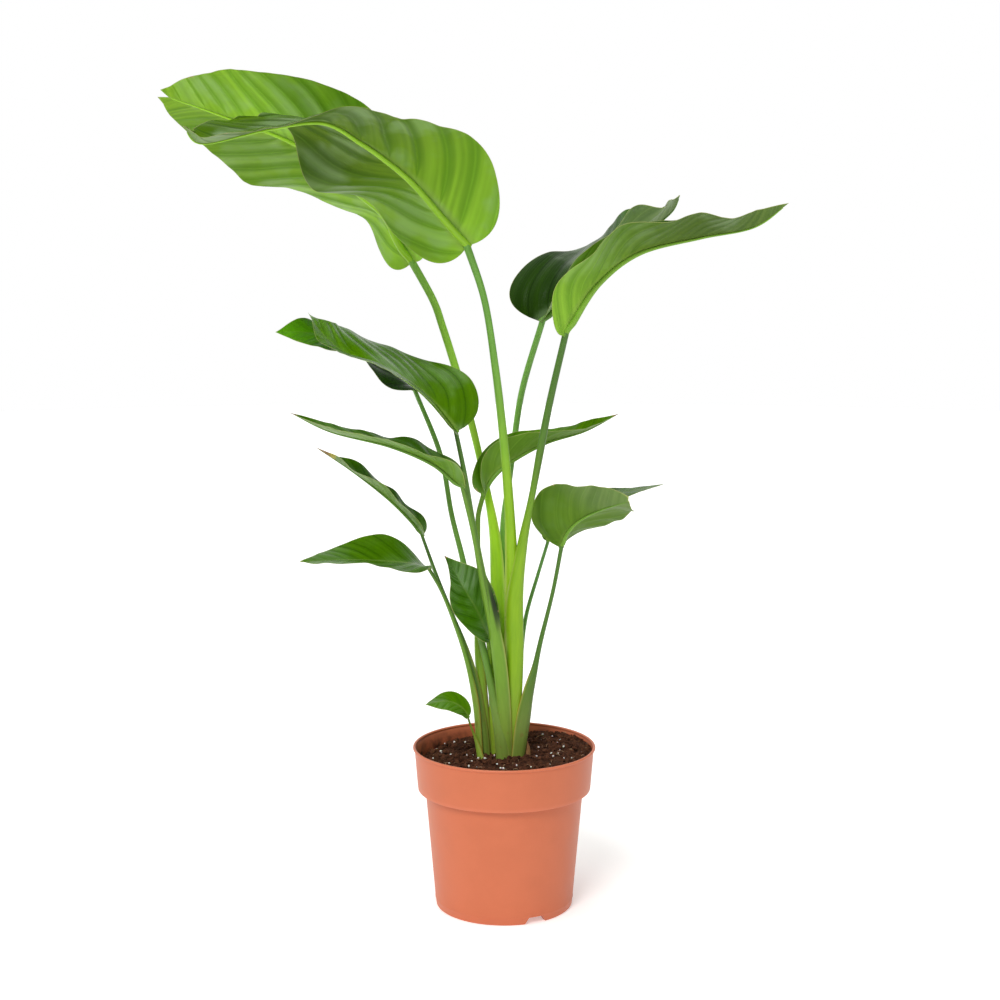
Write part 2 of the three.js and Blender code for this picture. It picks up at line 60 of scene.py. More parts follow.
# midrib: points from the blade's foot to its tip. half_width: at its widest place. widest: where that is,
# from foot 0 to tip 1. taper: the higher, the blunter the tip. right and left are the halves on each side
# of the midrib, looking along it: their lift out of the flat in degrees at even stations from foot to tip,
# curl, the turn from midrib to margin in degrees, and broad, which scales that half's width.
# stalk: points from below the blade down to just above the soil, then foot [x, y] in the soil.
# radius and depth: at even stations from top to foot, half the width seen from the front, and the depth
# from front to back as a part of the width.
LEAVES = {
    "top_rear": {
        "midrib": [[-104, 40, 739], [-118, 38, 764], [-133, 32, 793], [-162, 24, 817], [-226, 12, 867],
            [-299, -2, 896], [-373, -25, 921]],
        "half_width": 88, "widest": 0.45, "taper": 2.8,
        "right": {"lift": [-40, -10, -10, -22, -38, -30, -20, -22, -40], "curl": -10},
        "left": {"lift": [30, 35, 58, 62, 48, 45, 42, 50, 80], "curl": -10},
        "stalk": [[-81, 40, 697], [-70, 40, 666], [-55, 39, 618], [-38, 37, 559], [-23, 34, 494],
            [-11, 26, 429], [-7, 20, 366], [-3, 16, 296], [-1, 13, 220]],
        "foot": [0, 14], "radius": [4.4, 4.3, 4.4, 4.3, 4, 4.8, 7.6, 8.6, 8.4, 9, 9],
        "depth": [1, 1, 1, 1, 1, 1, 1, 0.9, 0.8, 0.75, 0.75],
    },
    "top_front": {
        "midrib": [[-40, -20, 758], [-69, -40, 793], [-95, -60, 824], [-121, -82, 847], [-149, -106, 867],
            [-187, -140, 886], [-242, -170, 877], [-302, -194, 862], [-320, -202, 879]],
        "half_width": 96, "widest": 0.36, "taper": 2.2,
        "right": {"lift": [-60, -20, -12, -28, 2, 6, 14, 20, 40, 60], "curl": -10},
        "left": {"lift": [50, 57, 45, 25, 14, 10, 8, 10, 18, 10], "curl": -10},
        "stalk": [[-22, -18, 699], [-10, -16, 624], [-1, -14, 546], [5, -10, 475], [8, -4, 405],
            [9, 2, 311], [9, 5, 222]],
        "foot": [8, 6], "radius": [4.2, 3.8, 4.3, 4.9, 5.8, 7.6, 8.9, 9, 8],
        "depth": [1, 1, 1, 1, 1, 0.95, 0.8, 0.7, 0.7],
    },
    "upper_right": {
        "midrib": [[67, -14, 660], [74, -15, 676], [103, -20, 719], [148, -28, 752], [213, -42, 768],
            [269, -56, 779], [304, -66, 804]],
        "half_width": 56, "widest": 0.38, "taper": 2,
        "right": {"lift": [20, 49, 29, 38, 28, 37, 28, 50, 61], "curl": -10},
        "left": {"lift": [45, 55, 42, 32, 26, 25, 32], "curl": -10},
        "stalk": [[49, -12, 577], [32, -10, 484], [20, -8, 421], [12, -6, 359], [12, -4, 289],
            [10, -3, 224]],
        "foot": [11, -2], "radius": [3.7, 3.9, 4.3, 3.8, 6.5, 9.9, 9.8, 9.6, 8.7],
        "depth": [1, 1, 1, 1, 0.85, 0.75, 0.7, 0.7],
    },
    "upper_right_rear": {
        "midrib": [[43, 85, 670], [62, 89, 691], [88, 95, 714], [119, 107, 738], [150, 121, 760],
            [178, 135, 780], [199, 145, 797], [208, 150, 815]],
        "half_width": 66, "widest": 0.38, "taper": 2,
        "right": {"lift": [19, 34, 34, 43, 53, 32, 48, 59], "curl": -10},
        "left": {"lift": [39, 29, 14, 6, 6, 10, 31, 6, 3], "curl": -10, "broad": [1.88, 1.61, 1]},
        "stalk": [[21, 82, 590], [10, 72, 518], [4, 58, 474], [-1, 46, 431], [-1, 32, 352], [0, 26, 234]],
        "foot": [2, 25], "radius": [3.6, 3.7, 3.6, 3.7, 4.1, 4.7, 5.3, 5.9, 6.3],
        "depth": [1, 1, 1, 1, 1, 1, 0.8, 0.8],
    },
    "mid_left": {
        "midrib": [[-52, -52, 557], [-66, -54, 576], [-91, -58, 603], [-131, -64, 630], [-172, -72, 645],
            [-196, -78, 666], [-210, -84, 688]],
        "half_width": 60, "widest": 0.38, "taper": 2,
        "right": {"lift": [69, 59, 33, 28, 22, 32, 37, 40, 20], "curl": -15, "broad": [1.46, 1.17, 1]},
        "left": {"lift": [-8, -4, -2, -1, 0, 3, -3, -20, 2], "curl": -5},
        "stalk": [[-43, -44, 504], [-33, -34, 441], [-22, -27, 377], [-9, -20, 316], [-1, -12, 244]],
        "foot": [3, -6], "radius": [2.4, 2.7, 2.9, 4.1, 5.6, 7.5, 7.7, 7.3, 6.7],
        "depth": [1, 1, 1, 1, 0.85, 0.75, 0.75],
    },
    "left_upper": {
        "midrib": [[-100, 34, 594], [-120, 30, 611], [-152, 24, 639], [-196, 16, 657], [-229, 10, 662],
            [-256, 6, 662]],
        "half_width": 42, "widest": 0.38, "taper": 2,
        "right": {"lift": [10, 2, -5, 2, 18, 45, 37], "curl": 0},
        "left": {"lift": [29, -21, -23, -13, -18, -21, -28, -29], "curl": -5},
        "stalk": [[-73, 24, 523], [-60, 14, 455], [-47, 6, 403], [-38, 0, 356], [-26, -3, 312],
            [-14, -7, 255], [-4, -10, 202]],
        "foot": [0, -11], "radius": [2.4, 2.8, 2.8, 3, 3.5, 3.7, 4.2, 6.8, 8.2],
        "depth": [1, 1, 1, 1, 1, 1, 0.85, 0.75, 0.75],
    },
    "left_narrow": {
        "midrib": [[-44, -62, 497], [-52, -63, 502], [-78, -68, 524], [-124, -76, 544], [-187, -90, 561],
            [-229, -104, 583]],
        "half_width": 33, "widest": 0.3, "taper": 1.7,
        "right": {"lift": [44, 11, 36, 14, 10, 15, 21, 25], "curl": 5},
        "left": {"lift": [1, 11, 16, 14, 11, 12, 18, 12], "curl": 5},
        "stalk": [[-35, -52, 447], [-25, -38, 389], [-13, -20, 316], [-6, -4, 262], [-5, 2, 230]],
        "foot": [-1, 5], "radius": [2.3, 2.4, 2.6, 2.8, 3.1, 3.4],
        "depth": [1, 1],
    },
    "left_small": {
        "midrib": [[-92, -8, 434], [-104, -10, 451], [-131, -14, 478], [-170, -20, 509], [-210, -28, 537]],
        "half_width": 27, "widest": 0.35, "taper": 1.7,
        "right": {"lift": [59, 22, 20, 26, 29, 25, 24], "curl": 0},
        "left": {"lift": [6, 10, 18, 19, 11, 24, 26], "curl": 0},
        "stalk": [[-75, 0, 381], [-57, 6, 334], [-44, 10, 298], [-32, 14, 249], [-25, 15, 196]],
        "foot": [-22, 16], "radius": [1.7, 2, 2.3, 2.4, 3.4, 4.9, 5.6, 6.4, 6],
        "depth": [1, 1, 1, 1, 0.85, 0.8, 0.8],
    },
    "left_low": {
        "midrib": [[-83, -28, 401], [-102, -32, 406], [-133, -40, 410], [-176, -54, 414], [-224, -72, 415]],
        "half_width": 36, "widest": 0.36, "taper": 1.8,
        "right": {"lift": [-34, 14, 35, 38, 29, 25, 26], "curl": -10},
        "left": {"lift": [24, -4, -2, 13, 6, 3, -6], "curl": -10},
        "stalk": [[-71, -18, 373], [-57, -6, 334], [-43, 2, 288], [-33, 7, 239], [-29, 8, 192]],
        "foot": [-27, 8], "radius": [1.9, 2.1, 2.1, 2.3, 2.8, 3.5, 3.6, 3.5, 3.3],
        "depth": [1, 1, 1, 1, 0.9, 0.85, 0.85],
    },
    "inner_low": {
        "midrib": [[-17, -8, 314], [-30, -14, 347], [-43, -20, 371], [-55, -26, 394], [-67, -32, 415]],
        "half_width": 29, "widest": 0.42, "taper": 2,
        "right": {"lift": [82, 82, 100, 120, 140], "curl": 10},
        "left": {"lift": [-40, -78, -68, -50, -36], "curl": 10},
        "stalk": [[-16, 1, 282], [-15, 9, 239]],
        "foot": [-10, 18], "radius": [1.8, 2.3, 3, 3.4],
        "depth": [1, 1],
    },
    "right_thin": {
        "midrib": [[-24, 14, 478], [-16, 17, 495], [4, 24, 513], [47, 38, 534], [93, 52, 546],
            [132, 66, 564]],
        "half_width": 31, "widest": 0.34, "taper": 1.8,
        "right": {"lift": [6, 85, 59, 34, 26, 24, 9], "curl": -10},
        "left": {"lift": [95, 75, 48, 28, 22, 32, 26], "curl": -10},
        "stalk": [[-29, 14, 457], [-30, 15, 441], [-29, 18, 401], [-21, 22, 342], [-16, 26, 282],
            [-13, 28, 222]],
        "foot": [-9, 30], "radius": [2.7, 2.8, 2.7, 2.8, 3, 3.5, 4.1, 4.4, 4.5],
        "depth": [1, 1],
    },
    "right_round": {
        "midrib": [[65, 20, 416], [72, 12, 435], [86, 0, 451], [107, -20, 465], [137, -46, 478]],
        "half_width": 50, "widest": 0.44, "taper": 2.4,
        "right": {"lift": [87, 47, 41, 44, 41, 37, 32, 39], "curl": -10, "broad": [1.12, 1.12]},
        "left": {"lift": [51, 9, -15, -13, -5, -6, -17, -39], "curl": -10, "broad": [0.85, 0.85]},
        "stalk": [[56, 14, 366], [42, 6, 310], [35, 0, 279], [26, -6, 243], [19, -10, 200]],
        "foot": [13, -11], "radius": [2.4, 2.3, 2.3, 2.6, 3.3, 5.8, 7.8, 7.3, 6.1],
        "depth": [1, 1, 1, 0.9, 0.8, 0.75, 0.75],
    },
    "right_rear": {
        "midrib": [[51, 62, 416], [61, 68, 437], [89, 80, 458], [135, 100, 466], [191, 124, 474]],
        "half_width": 27, "widest": 0.36, "taper": 2,
        "right": {"lift": [-10, -5, 0, 0, 0], "curl": 0},
        "left": {"lift": [20, 20, 12, 5, 5], "curl": 0},
        "stalk": [[39, 54, 376], [26, 45, 332], [20, 38, 291], [16, 33, 233]],
        "foot": [13, 32], "radius": [1.9, 2.1, 2.5, 3.4, 3.9, 4.3],
        "depth": [1, 1],
    },
    "baby": {
        "midrib": [[-41, -12, 225], [-49, -16, 237], [-65, -24, 246], [-89, -36, 245]],
        "half_width": 15, "widest": 0.4, "taper": 2,
        "right": {"lift": [72, 50, 12, 5], "curl": 0},
        "left": {"lift": [-40, -40, -35, -25], "curl": 0},
        "stalk": [[-37, -5, 208], [-31, 1, 189]],
        "foot": [-22, 0], "radius": [1.2, 1.3, 3.4, 5],
        "depth": [1, 1],
    },
}

SPEAR = {
    "stalk": [[-30, 20, 359], [-30, 20, 307], [-25, 20, 248]],
    "foot": [-17, 24], "radius": [1.6, 5, 5.8, 5.7], "depth": [1, 1],
}
DRY_SHEATH = {
    "midrib": [[26, -10, 166], [26.5, -10, 176], [27, -9.5, 186], [26, -9, 196]],
    "half_width": 4.5, "widest": 0.3, "taper": 1.6,
    "right": {"lift": [-20, -20], "curl": -40},
    "left": {"lift": [-20, -20], "curl": -40},
}
LOBES = [-0.3, 0.2, 0.35, 0.35, 0.2]  # how far the margin runs ahead of the midrib, in half widths
NECK = 3  # length of stalk that runs on under the blade's foot
STALK_FOOT = 152

# How each blade differs in finish and in its finest shape.
# youth: 1 is a bright young blade, 0 a deep green old one. pleat and fold: height and spacing in mm of the
# folds along its veins, for the right and the left half. sweep: how far the veins run towards the tip, as
# a part of the half width. dry: length in mm of the dried tip. notch: depth in mm of the split in the tip.
# ripple: height in mm of the waves of the margin at even stations from foot to tip, for the right and the
# left half. tone: below 1 is darker, from foot to tip, for the right and the left half; partly the blade's
# own tone and partly painted shade and light. wax: how glossy its wax is and how white the sheen painted on
# its fold crests is, a painted highlight.
USUAL_HABIT = {"sweep": 0.8, "dry": 0, "notch": 0}
HABITS = {
    "top_rear": {"youth": 1.0, "pleat": (2.5, 4), "fold": (32, 28), "notch": 9.5,
        "wax": 0.6, "tone": [[1.7, 1, 0.85, 0.95], [2.2, 1.5, 1.4, 1]],
        "ripple": [[0, 1, -1, 2, -2, 1, -2, 1, 0], [0, -2, 2, -2, 2, -3, 2, -2, 0]]},
    "top_front": {"youth": 0.9, "pleat": (3.5, 7), "fold": (30, 40),
        "wax": 0.8, "tone": [[1.6, 0.6, 0.5, 0.6], [1.7, 0.8, 0.45, 0.6]],
        "ripple": [[0, 2.5, -3, 3, -2.5, 2, -1.5, 1, -1, 1, -2, 2, -1, 1, -1, 1, 0],
            [0, 2, -2, 1.5, -1.5, 1, -1, 1, 0]]},
    "upper_right": {"youth": 0.5, "pleat": (2.4, 2), "fold": (24, 22), "sweep": 1.2,
        "wax": 0.35, "tone": [[1.9, 0.6, 0.7], [0.9, 0.45, 0.55]],
        "ripple": [[0, 0], [0, 1, -1, 1, 0]]},
    "upper_right_rear": {"youth": 0.1, "pleat": (1.6, 2), "fold": (24, 28),
        "wax": 0.5, "tone": [[0.9, 0.9], [0.4, 0.7, 1.8]],
        "ripple": [[0, 1, -1, 1, 0], [-2, -1.7, 5.4, 1.8, -0.6, 4.8, -6.1, 4.4, 0.8]]},
    "mid_left": {"youth": 0.4, "pleat": (2.2, 1.5), "fold": (24, 22),
        "wax": 0.8, "tone": [[1.1, 1.5, 1.6], [1, 1.5]],
        "ripple": [[-3.9, 4.1, -3.7, 1.3, 2.6, -0.6, -0.3], [0, 0]]},
    "left_upper": {"youth": 0.1, "pleat": (1.2, 1.5), "fold": (22, 22),
        "wax": 0.05, "tone": [[0.8, 1.1, 4], [0.8, 1, 4]],
        "ripple": [[0, 0], [-2.4, -2.4, 4.2, 0.4, -1.5, -0.1, 0.4]]},
    "left_narrow": {"youth": 0.2, "pleat": (1.2, 1), "fold": (18, 16), "sweep": 0.9, "dry": 8,
        "wax": 0.6, "tone": [[1.2, 1.3], [1.2, 1.3]],
        "ripple": [[-2, 10, -6, -6.4, 0.9, 1.6, 1.8, 0.7, -0.6],
            [-1.3, 8, -4, -2.9, 0, 1.2, 0.3, -1.1, -0.5]]},
    "left_small": {"youth": 0.15, "pleat": (1.2, 1), "fold": (18, 16), "dry": 22,
        "wax": 0.5, "tone": [[1.2, 1.2], [1.2, 1.2]],
        "ripple": [[-3.4, 2.9, -0.6, 2.3, -2.9, -2.3, 1.9, 0.4, -2.2, -1.3, -0.3],
            [-0.1, 2.5, 1.4, -1.8, 1, -0.7, -1.2, -0.6, 1.1, 0.1, -0.3]]},
    "left_low": {"youth": 0.3, "pleat": (1.4, 1.2), "fold": (18, 18),
        "wax": 0.3, "tone": [[1.2, 1.3], [1.2, 1.3]],
        "ripple": [[5.7, 13, -2.1, -1.7, 1.3], [0.1, -4.4, 0.2, 3.6, 1, -2.3, -1, 0.1, 0.9, 0, 1.4]]},
    "inner_low": {"youth": 0.1, "pleat": (1, 1), "fold": (16, 16), "sweep": 0.9, "dry": 3,
        "wax": 0.55, "tone": [[1.7, 1.7], [1.7, 1.7]],
        "ripple": [[0, 1, -1, 1, 0], [0, 1.5, -1.5, 1, 0]]},
    "right_thin": {"youth": 0.35, "pleat": (1.2, 1.2), "fold": (18, 18), "sweep": 0.9, "dry": 7,
        "wax": 0.3, "tone": [[1.2, 1.2], [1.2, 1.2]],
        "ripple": [[0, 0], [0, 1, -1, 1, 0]]},
    "right_round": {"youth": 0.35, "pleat": (1.6, 1.6), "fold": (20, 22),
        "wax": 0.2, "tone": [[0.85, 0.95], [0.75, 0.95]],
        "ripple": [[-2.2, 12.7, 16.4, 8, 0.9, -1.8, 3.7, 8.2, 6.5], [-4, -2.3, 2, -5.3, -2.5, -3, 2.7]]},
    "right_rear": {"youth": 0.3, "pleat": (0.9, 0.9), "fold": (18, 18),
        "wax": 0.2, "tone": [[1, 1], [1, 1]],
        "ripple": [[0, 1, -1, 1, 0], [0, -1, 1, -1, 0]]},
    "baby": {"youth": 0.3, "pleat": (0.5, 0.5), "fold": (10, 10),
        "wax": 0.6, "tone": [[1.6, 1.6], [1.6, 1.6]],
        "ripple": [[0, 0.5, -0.5, 0], [0, -0.5, 0.5, 0]]},
}

# A stalk's foot is a sheath wrapped round the younger stalks. seam: the direction its free margin faces, in
# degrees from the right round to the front. mouth: height above the floor at which the sheath opens.
# hue, from top to foot: 0 is bluish green and 1 yellow-green. tone, from top to foot: below 1 is darker,
# partly the stalk's own tone and partly painted shade and light.
# gape: where the sheath stands open, its lowest and highest place and how far it stands out.
SHEATHS = {
    "top_rear": {"seam": 20, "mouth": 470, "hue": [0.2, 0.5, 0.8, 0.8, 0.6],
        "tone": [1.9, 1.8, 1.8, 1.3, 0.9]},
    "top_front": {"seam": 155, "mouth": 450, "hue": [0.1, 0.2, 0.8, 1, 0.8],
        "tone": [1.7, 1.6, 1.2, 1, 0.9]},
    "upper_right": {"seam": 164, "mouth": 420, "hue": [0.1, 0.25, 0.8, 0.9, 0.8],
        "tone": [0.75, 0.8, 1, 1, 0.9]},
    "upper_right_rear": {"seam": 30, "mouth": 300, "hue": [0.1, 0.2, 0.3], "tone": [1.5, 1.6, 1.2]},
    "mid_left": {"seam": 15, "mouth": 330, "hue": [0.1, 0.3, 0.5, 0.4], "tone": [0.85, 0.95, 1, 0.9],
        "gape": (326, 392, 3.8)},
    "left_upper": {"seam": 14, "mouth": 262, "hue": [0.1, 0.2, 0.3], "tone": [1.5, 1.2, 0.8]},
    "left_narrow": {"seam": 30, "mouth": 240, "hue": [0.3, 0.5, 0.9], "tone": [0.9, 1, 1]},
    "left_small": {"seam": 14, "mouth": 305, "hue": [0.1, 0.2, 0.3], "tone": [0.75, 0.85, 0.95]},
    "left_low": {"seam": 30, "mouth": 262, "hue": [0.2, 0.4, 0.7], "tone": [0.9, 1, 1.05]},
    "inner_low": {"seam": 30, "mouth": 230, "hue": [0.6, 0.9, 0.9], "tone": [1, 1.05, 1]},
    "right_thin": {"seam": 150, "mouth": 260, "hue": [0.4, 0.8, 0.9], "tone": [0.9, 1, 1]},
    "right_round": {"seam": 165, "mouth": 278, "hue": [0.15, 0.2, 0.35], "tone": [0.8, 0.7, 0.55]},
    "right_rear": {"seam": 150, "mouth": 260, "hue": [0, 0.1, 0.3], "tone": [1.4, 1.4, 1]},
    "baby": {"seam": 30, "mouth": 200, "hue": [0.5, 0.6, 0.6], "tone": [1, 1.1, 1.1]},
    "spear": {"seam": 35, "mouth": 300, "hue": [0.5, 0.7, 0.8], "tone": [1, 1.05, 1]},
}

# White grains lying on the soil where they are seen from the front, [x, y].
GRAINS = [[-59, 63], [-46, 59], [-80, 47], [-74, 32], [-62, 18], [-43, 9], [-82, 3], [-37, -12], [-30, -6],
    [-63, -17], [-40, -35], [-22, -12], [-8, -39], [-4, -53], [-1, -55], [14, -51], [46, 69], [57, 54],
    [40, 15], [69, 15], [54, -8], [62, -12], [56, -20], [68, -30], [37, -20], [30, -60]]

# ---- What a user would change --------------------------------------------------------------------------


def linear(hex_colour):
    """An sRGB hex colour as linear red, green and blue."""
    channels = [int(hex_colour[i:i + 2], 16) / 255 for i in (1, 3, 5)]
    return [c / 12.92 if c <= 0.04045 else ((c + 0.055) / 1.055) ** 2.4 for c in channels]


def length(name, description, millimetres):
    return bpy.props.FloatProperty(
        name=name, description=description, default=millimetres * MM, min=0, unit="LENGTH", precision=4)


def colour(name, description, hex_colour):
    return bpy.props.FloatVectorProperty(
        name=name, description=description, default=linear(hex_colour), size=3, min=0, max=1, subtype="COLOR")


class PotSizes(bpy.types.PropertyGroup):
    height: length("Height", "From the floor to the top of the rim", 188)
    rim_radius: length("Rim radius", "Outside of the bead on the rim", 105)
    bead_radius: length("Bead radius", "Half the thickness of the rolled bead", 1.6)
    collar_height: length("Collar height", "From the collar's underside to the top of the rim", 50)
    collar_foot_radius: length("Collar foot radius", "Outside of the collar at its underside", 99.4)
    body_top_radius: length("Body top radius", "Outside of the body where it meets the collar", 91)
    base_radius: length("Base radius", "Outside of the body at the floor", 79)
    wall: length("Wall", "Thickness of the moulded wall", 1.8)
    foot_height: length("Foot height", "From the floor to the underside of the raised bottom", 9)
    foot_width: length("Foot width", "Thickness of the ring that the pot stands on", 7.5)
    floor: length("Floor", "Thickness of the bottom", 2)
    pad_radius: length("Pad radius", "Flat middle of the underside", 22)
    plastic: colour("Plastic", "Colour of the pot", "#c86c48")


class SoilSizes(bpy.types.PropertyGroup):
    level: length("Level", "Height of the soil at the pot's axis", 175)
    crumb: length("Crumb", "Size of a common crumb of peat", 3.4)
    grain: length("Grain", "Size of a common grain of perlite", 2.4)
    crumbs: bpy.props.IntProperty(name="Crumbs", description="Loose crumbs on the soil", default=1700, min=0)
    fibres: bpy.props.IntProperty(name="Fibres", description="Loose fibres on the soil", default=70, min=0)
    hidden_grains: bpy.props.IntProperty(
        name="Hidden grains", description="Grains scattered where the front view does not show", default=45)
    peat: colour("Peat", "Colour of the moist peat mix", "#47291b")
    perlite: colour("Perlite", "Colour of the white grains", "#f4f0ea")


class StalkSizes(bpy.types.PropertyGroup):
    overlap: length("Overlap", "Step at a sheath's free margin", 0.7)
    fibre: length("Fibre", "Width of a streak along the stalk", 0.9)
    bluish: colour("Bluish green", "Stalks of the older leaves", "#4d7838")
    yellowish: colour("Yellow green", "Stalks of the younger leaves", "#86b012")
    margin: colour("Margin", "Dried free margin of a sheath", "#c79a3c")


class LeafSizes(bpy.types.PropertyGroup):
    thickness: length("Thickness", "Thickness of a blade between its veins", 0.5)
    vein: length("Vein spacing", "Distance between the fine side veins, drawn coarse enough to show", 2.6)
    fold: length("Fold spacing", "Distance between the broad folds along the side veins", 11)
    margin_line: length("Margin line", "Width of the pale line along the margin", 0.9)
    old_upper: colour("Old upper face", "Upper face of a full-grown blade", "#234c06")
    young_upper: colour("Young upper face", "Upper face of a young blade", "#74a606")
    old_under: colour("Old underside", "Underside of a full-grown blade", "#567c2c")
    young_under: colour("Young underside", "Underside of a young blade", "#8ab434")
    midrib: colour("Midrib", "Pale rib down the middle of a blade", "#a4c25c")
    dry: colour("Dry tip", "Dried tip of a blade", "#8a6a3a")
    scale: colour("Dry scale", "Dried scale at the foot of the clump", "#b98a55")


class StageSizes(bpy.types.PropertyGroup):
    floor_radius: length("Floor radius", "Half the width of the plain floor", 6000)
    floor_colour: colour("Floor colour", "Sanded acrylic of the floor", "#f4f3f1")
    floor_glow: bpy.props.FloatProperty(
        name="Floor glow", description="Light that comes up through the floor", default=0.36, min=0)
    key_light: bpy.props.FloatProperty(
        name="Key light", description="Strength of the wide light from the front, to the upper left",
        default=1.55, min=0)
    top_light: bpy.props.FloatProperty(
        name="Top light", description="Strength of the wide light from over the plant", default=1.1, min=0)
    back_walls: bpy.props.FloatProperty(
        name="Back walls", description="Brightness of the white walls behind the plant", default=1.0, min=0)
    front_walls: bpy.props.FloatProperty(
        name="Front walls", description="Brightness of the walls behind the viewer", default=0.38, min=0)


# ---- Curves and meshes ---------------------------------------------------------------------------------


def smooth_line(values, t):
    """Points or numbers on a smooth line through evenly spaced ones, at t from 0 to 1."""
    values = np.asarray(values, float)
    t = np.clip(np.asarray(t, float), 0, 1) * (len(values) - 1)
    before = np.minimum(t.astype(int), len(values) - 2)
    part = (t - before).reshape(t.shape + (1,) * (values.ndim - 1))
    ends = np.concatenate([2 * values[:1] - values[1:2], values, 2 * values[-1:] - values[-2:-1]])
    p0, p1, p2, p3 = (ends[before + i] for i in range(4))
    rise, fall = (p2 - p0) / 2, (p3 - p1) / 2
    bend = 3 * (p2 - p1) - 2 * rise - fall
    return p1 + rise * part + bend * part**2 + (2 * (p1 - p2) + rise + fall) * part**3


def unit(vectors):
    return vectors / np.linalg.norm(vectors, axis=-1, keepdims=True)


def follow(route, t):
    """Places, directions and the whole length of a smooth route, at parts t of that length."""
    steps = np.linspace(0, 1, 801)
    lengths = np.linalg.norm(np.diff(smooth_line(route, steps), axis=0), axis=1)
    run = np.concatenate([[0], np.cumsum(lengths)])
    at = np.interp(np.asarray(t) * run[-1], run, steps)
    ahead = smooth_line(route, np.clip(at + 1e-3, 0, 1)) - smooth_line(route, np.clip(at - 1e-3, 0, 1))
    return smooth_line(route, at), unit(ahead), run[-1]


def wander(x, spacing, seed):
    """A smooth random line, between -1 and 1, with one turn for each spacing."""
    draws = np.random.default_rng(seed).uniform(-1, 1, 400)
    return smooth_line(draws, (np.asarray(x) / spacing + 20) / 399)


def soft_step(low, high, x):
    x = np.clip((x - low) / (high - low), 0, 1)
    return x * x * (3 - 2 * x)


def grid_faces(rows, columns, closed=False, flipped=False):
    """Quads of a grid of points in rows. A closed one joins its last column to its first."""
    row = np.arange(rows - 1)[:, None] * columns
    column = np.arange(columns if closed else columns - 1)[None, :]
    following = (column + 1) % columns
    corners = [row + column, row + following, row + columns + following, row + columns + column]
    return np.stack(corners[::-1] if flipped else corners, axis=-1).reshape(-1, 4)


def full_turn(sides):
    return np.arange(sides) * 2 * math.pi / sides


def revolved(profile, turns):
    """Rings of points round the pot's axis, one for each radius and height of a profile."""
    return np.stack([np.outer(profile[:, 0], np.cos(turns)), np.outer(profile[:, 0], np.sin(turns)),
                     np.repeat(profile[:, 1:], len(turns), axis=1)], axis=-1)


def store(mesh, key, values):
    """Gives each point of a mesh its value under a name that the materials read."""
    layer = mesh.attributes.new(key, "FLOAT", "POINT")
    layer.data.foreach_set("value", values.astype(np.float32))


class Shell:
    """Points, faces and per-point values that become one mesh. Points are given in millimetres."""

    def __init__(self):
        self.points, self.faces, self.finishes, self.values, self.count = [], [], [], [], 0

    def add(self, points, faces, finish=0, **values):
        points = np.asarray(points, float).reshape(-1, 3)
        self.points.append(points)
        for face in faces:
            self.faces.append([int(i) + self.count for i in face])
            self.finishes.append(finish)
        self.values.append((len(points), values))
        self.count += len(points)

    def cap(self, height, first, sides, flipped=False):
        """Closes the ring of points that starts at first with triangles to a point on the pot's axis."""
        centre = self.count
        self.add([(0, 0, height)], [])
        for i in range(sides):
            edge = [first + i, first + (i + 1) % sides]
            self.faces.append([centre, *(edge[::-1] if flipped else edge)])
            self.finishes.append(0)

    def close_border(self, rows, columns, finish):
        """Joins the borders of this shell's two grids of points, the faces of a thin sheet."""
        border = ([(i, 0) for i in range(rows)] + [(rows - 1, j) for j in range(1, columns)]
                  + [(i, columns - 1) for i in range(rows - 2, -1, -1)]
                  + [(0, j) for j in range(columns - 2, 0, -1)])
        loop = [i * columns + j for i, j in border]
        under = rows * columns
        for a, b in zip(loop, loop[1:] + loop[:1]):
            self.faces.append([a, b, b + under, a + under])
            self.finishes.append(finish)

    def make(self, name, finishes, node=None, sharp=40):
        mesh = bpy.data.meshes.new(name)
        mesh.from_pydata((np.concatenate(self.points) * MM).tolist(), [], self.faces)
        for finish in finishes:
            mesh.materials.append(finish)
        mesh.polygons.foreach_set("material_index", self.finishes)
        for key in sorted({key for _, values in self.values for key in values}):
            parts = [np.broadcast_to(np.asarray(values.get(key, 0.0), float).reshape(-1), (count,))
                     for count, values in self.values]
            store(mesh, key, np.concatenate(parts))
        mesh.shade_smooth()
        mesh.set_sharp_from_angle(angle=math.radians(sharp))
        mesh.validate()
        piece = bpy.data.objects.new(name, mesh)
        return settle(piece, node)


def settle(piece, node=None):
    """Puts a new piece in the scene, on its body, in place of its CAD node."""
    bpy.context.scene.collection.objects.link(piece)
    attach(piece, BODY)
    if node:
        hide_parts(node)
    return piece


# ---- Materials -----------------------------------------------------------------------------------------

SOFT = {"interpolation_type": "SMOOTHSTEP"}
TINT = {"data_type": "RGBA", "output": 2}
FILTER = {"blend_type": "MULTIPLY", **TINT}
TIMES = {"operation": "MULTIPLY"}


def add_node(tree, kind, inputs=(), output=0, **settings):
    """Adds a shader node with its settings and links, and gives one of its outputs.

    inputs are values or other nodes' outputs, in order or by the socket's name or number.
    """
    node = tree.nodes.new("ShaderNode" + kind)
    for key, value in settings.items():
        setattr(node, key, value)
    for key, value in inputs.items() if isinstance(inputs, dict) else enumerate(inputs):
        if isinstance(value, bpy.types.NodeSocket):
            tree.links.new(value, node.inputs[key])
        elif isinstance(value, (list, tuple)):
            size = len(node.inputs[key].default_value)
            node.inputs[key].default_value = (list(value) + [1.0])[:size]
        else:
            node.inputs[key].default_value = value
    return node.outputs[output] if len(node.outputs) else node


def new_material(name):
    material = bpy.data.materials.get(name) or bpy.data.materials.new(name)
    material.use_nodes = True
    material.node_tree.nodes.clear()
    return material, material.node_tree


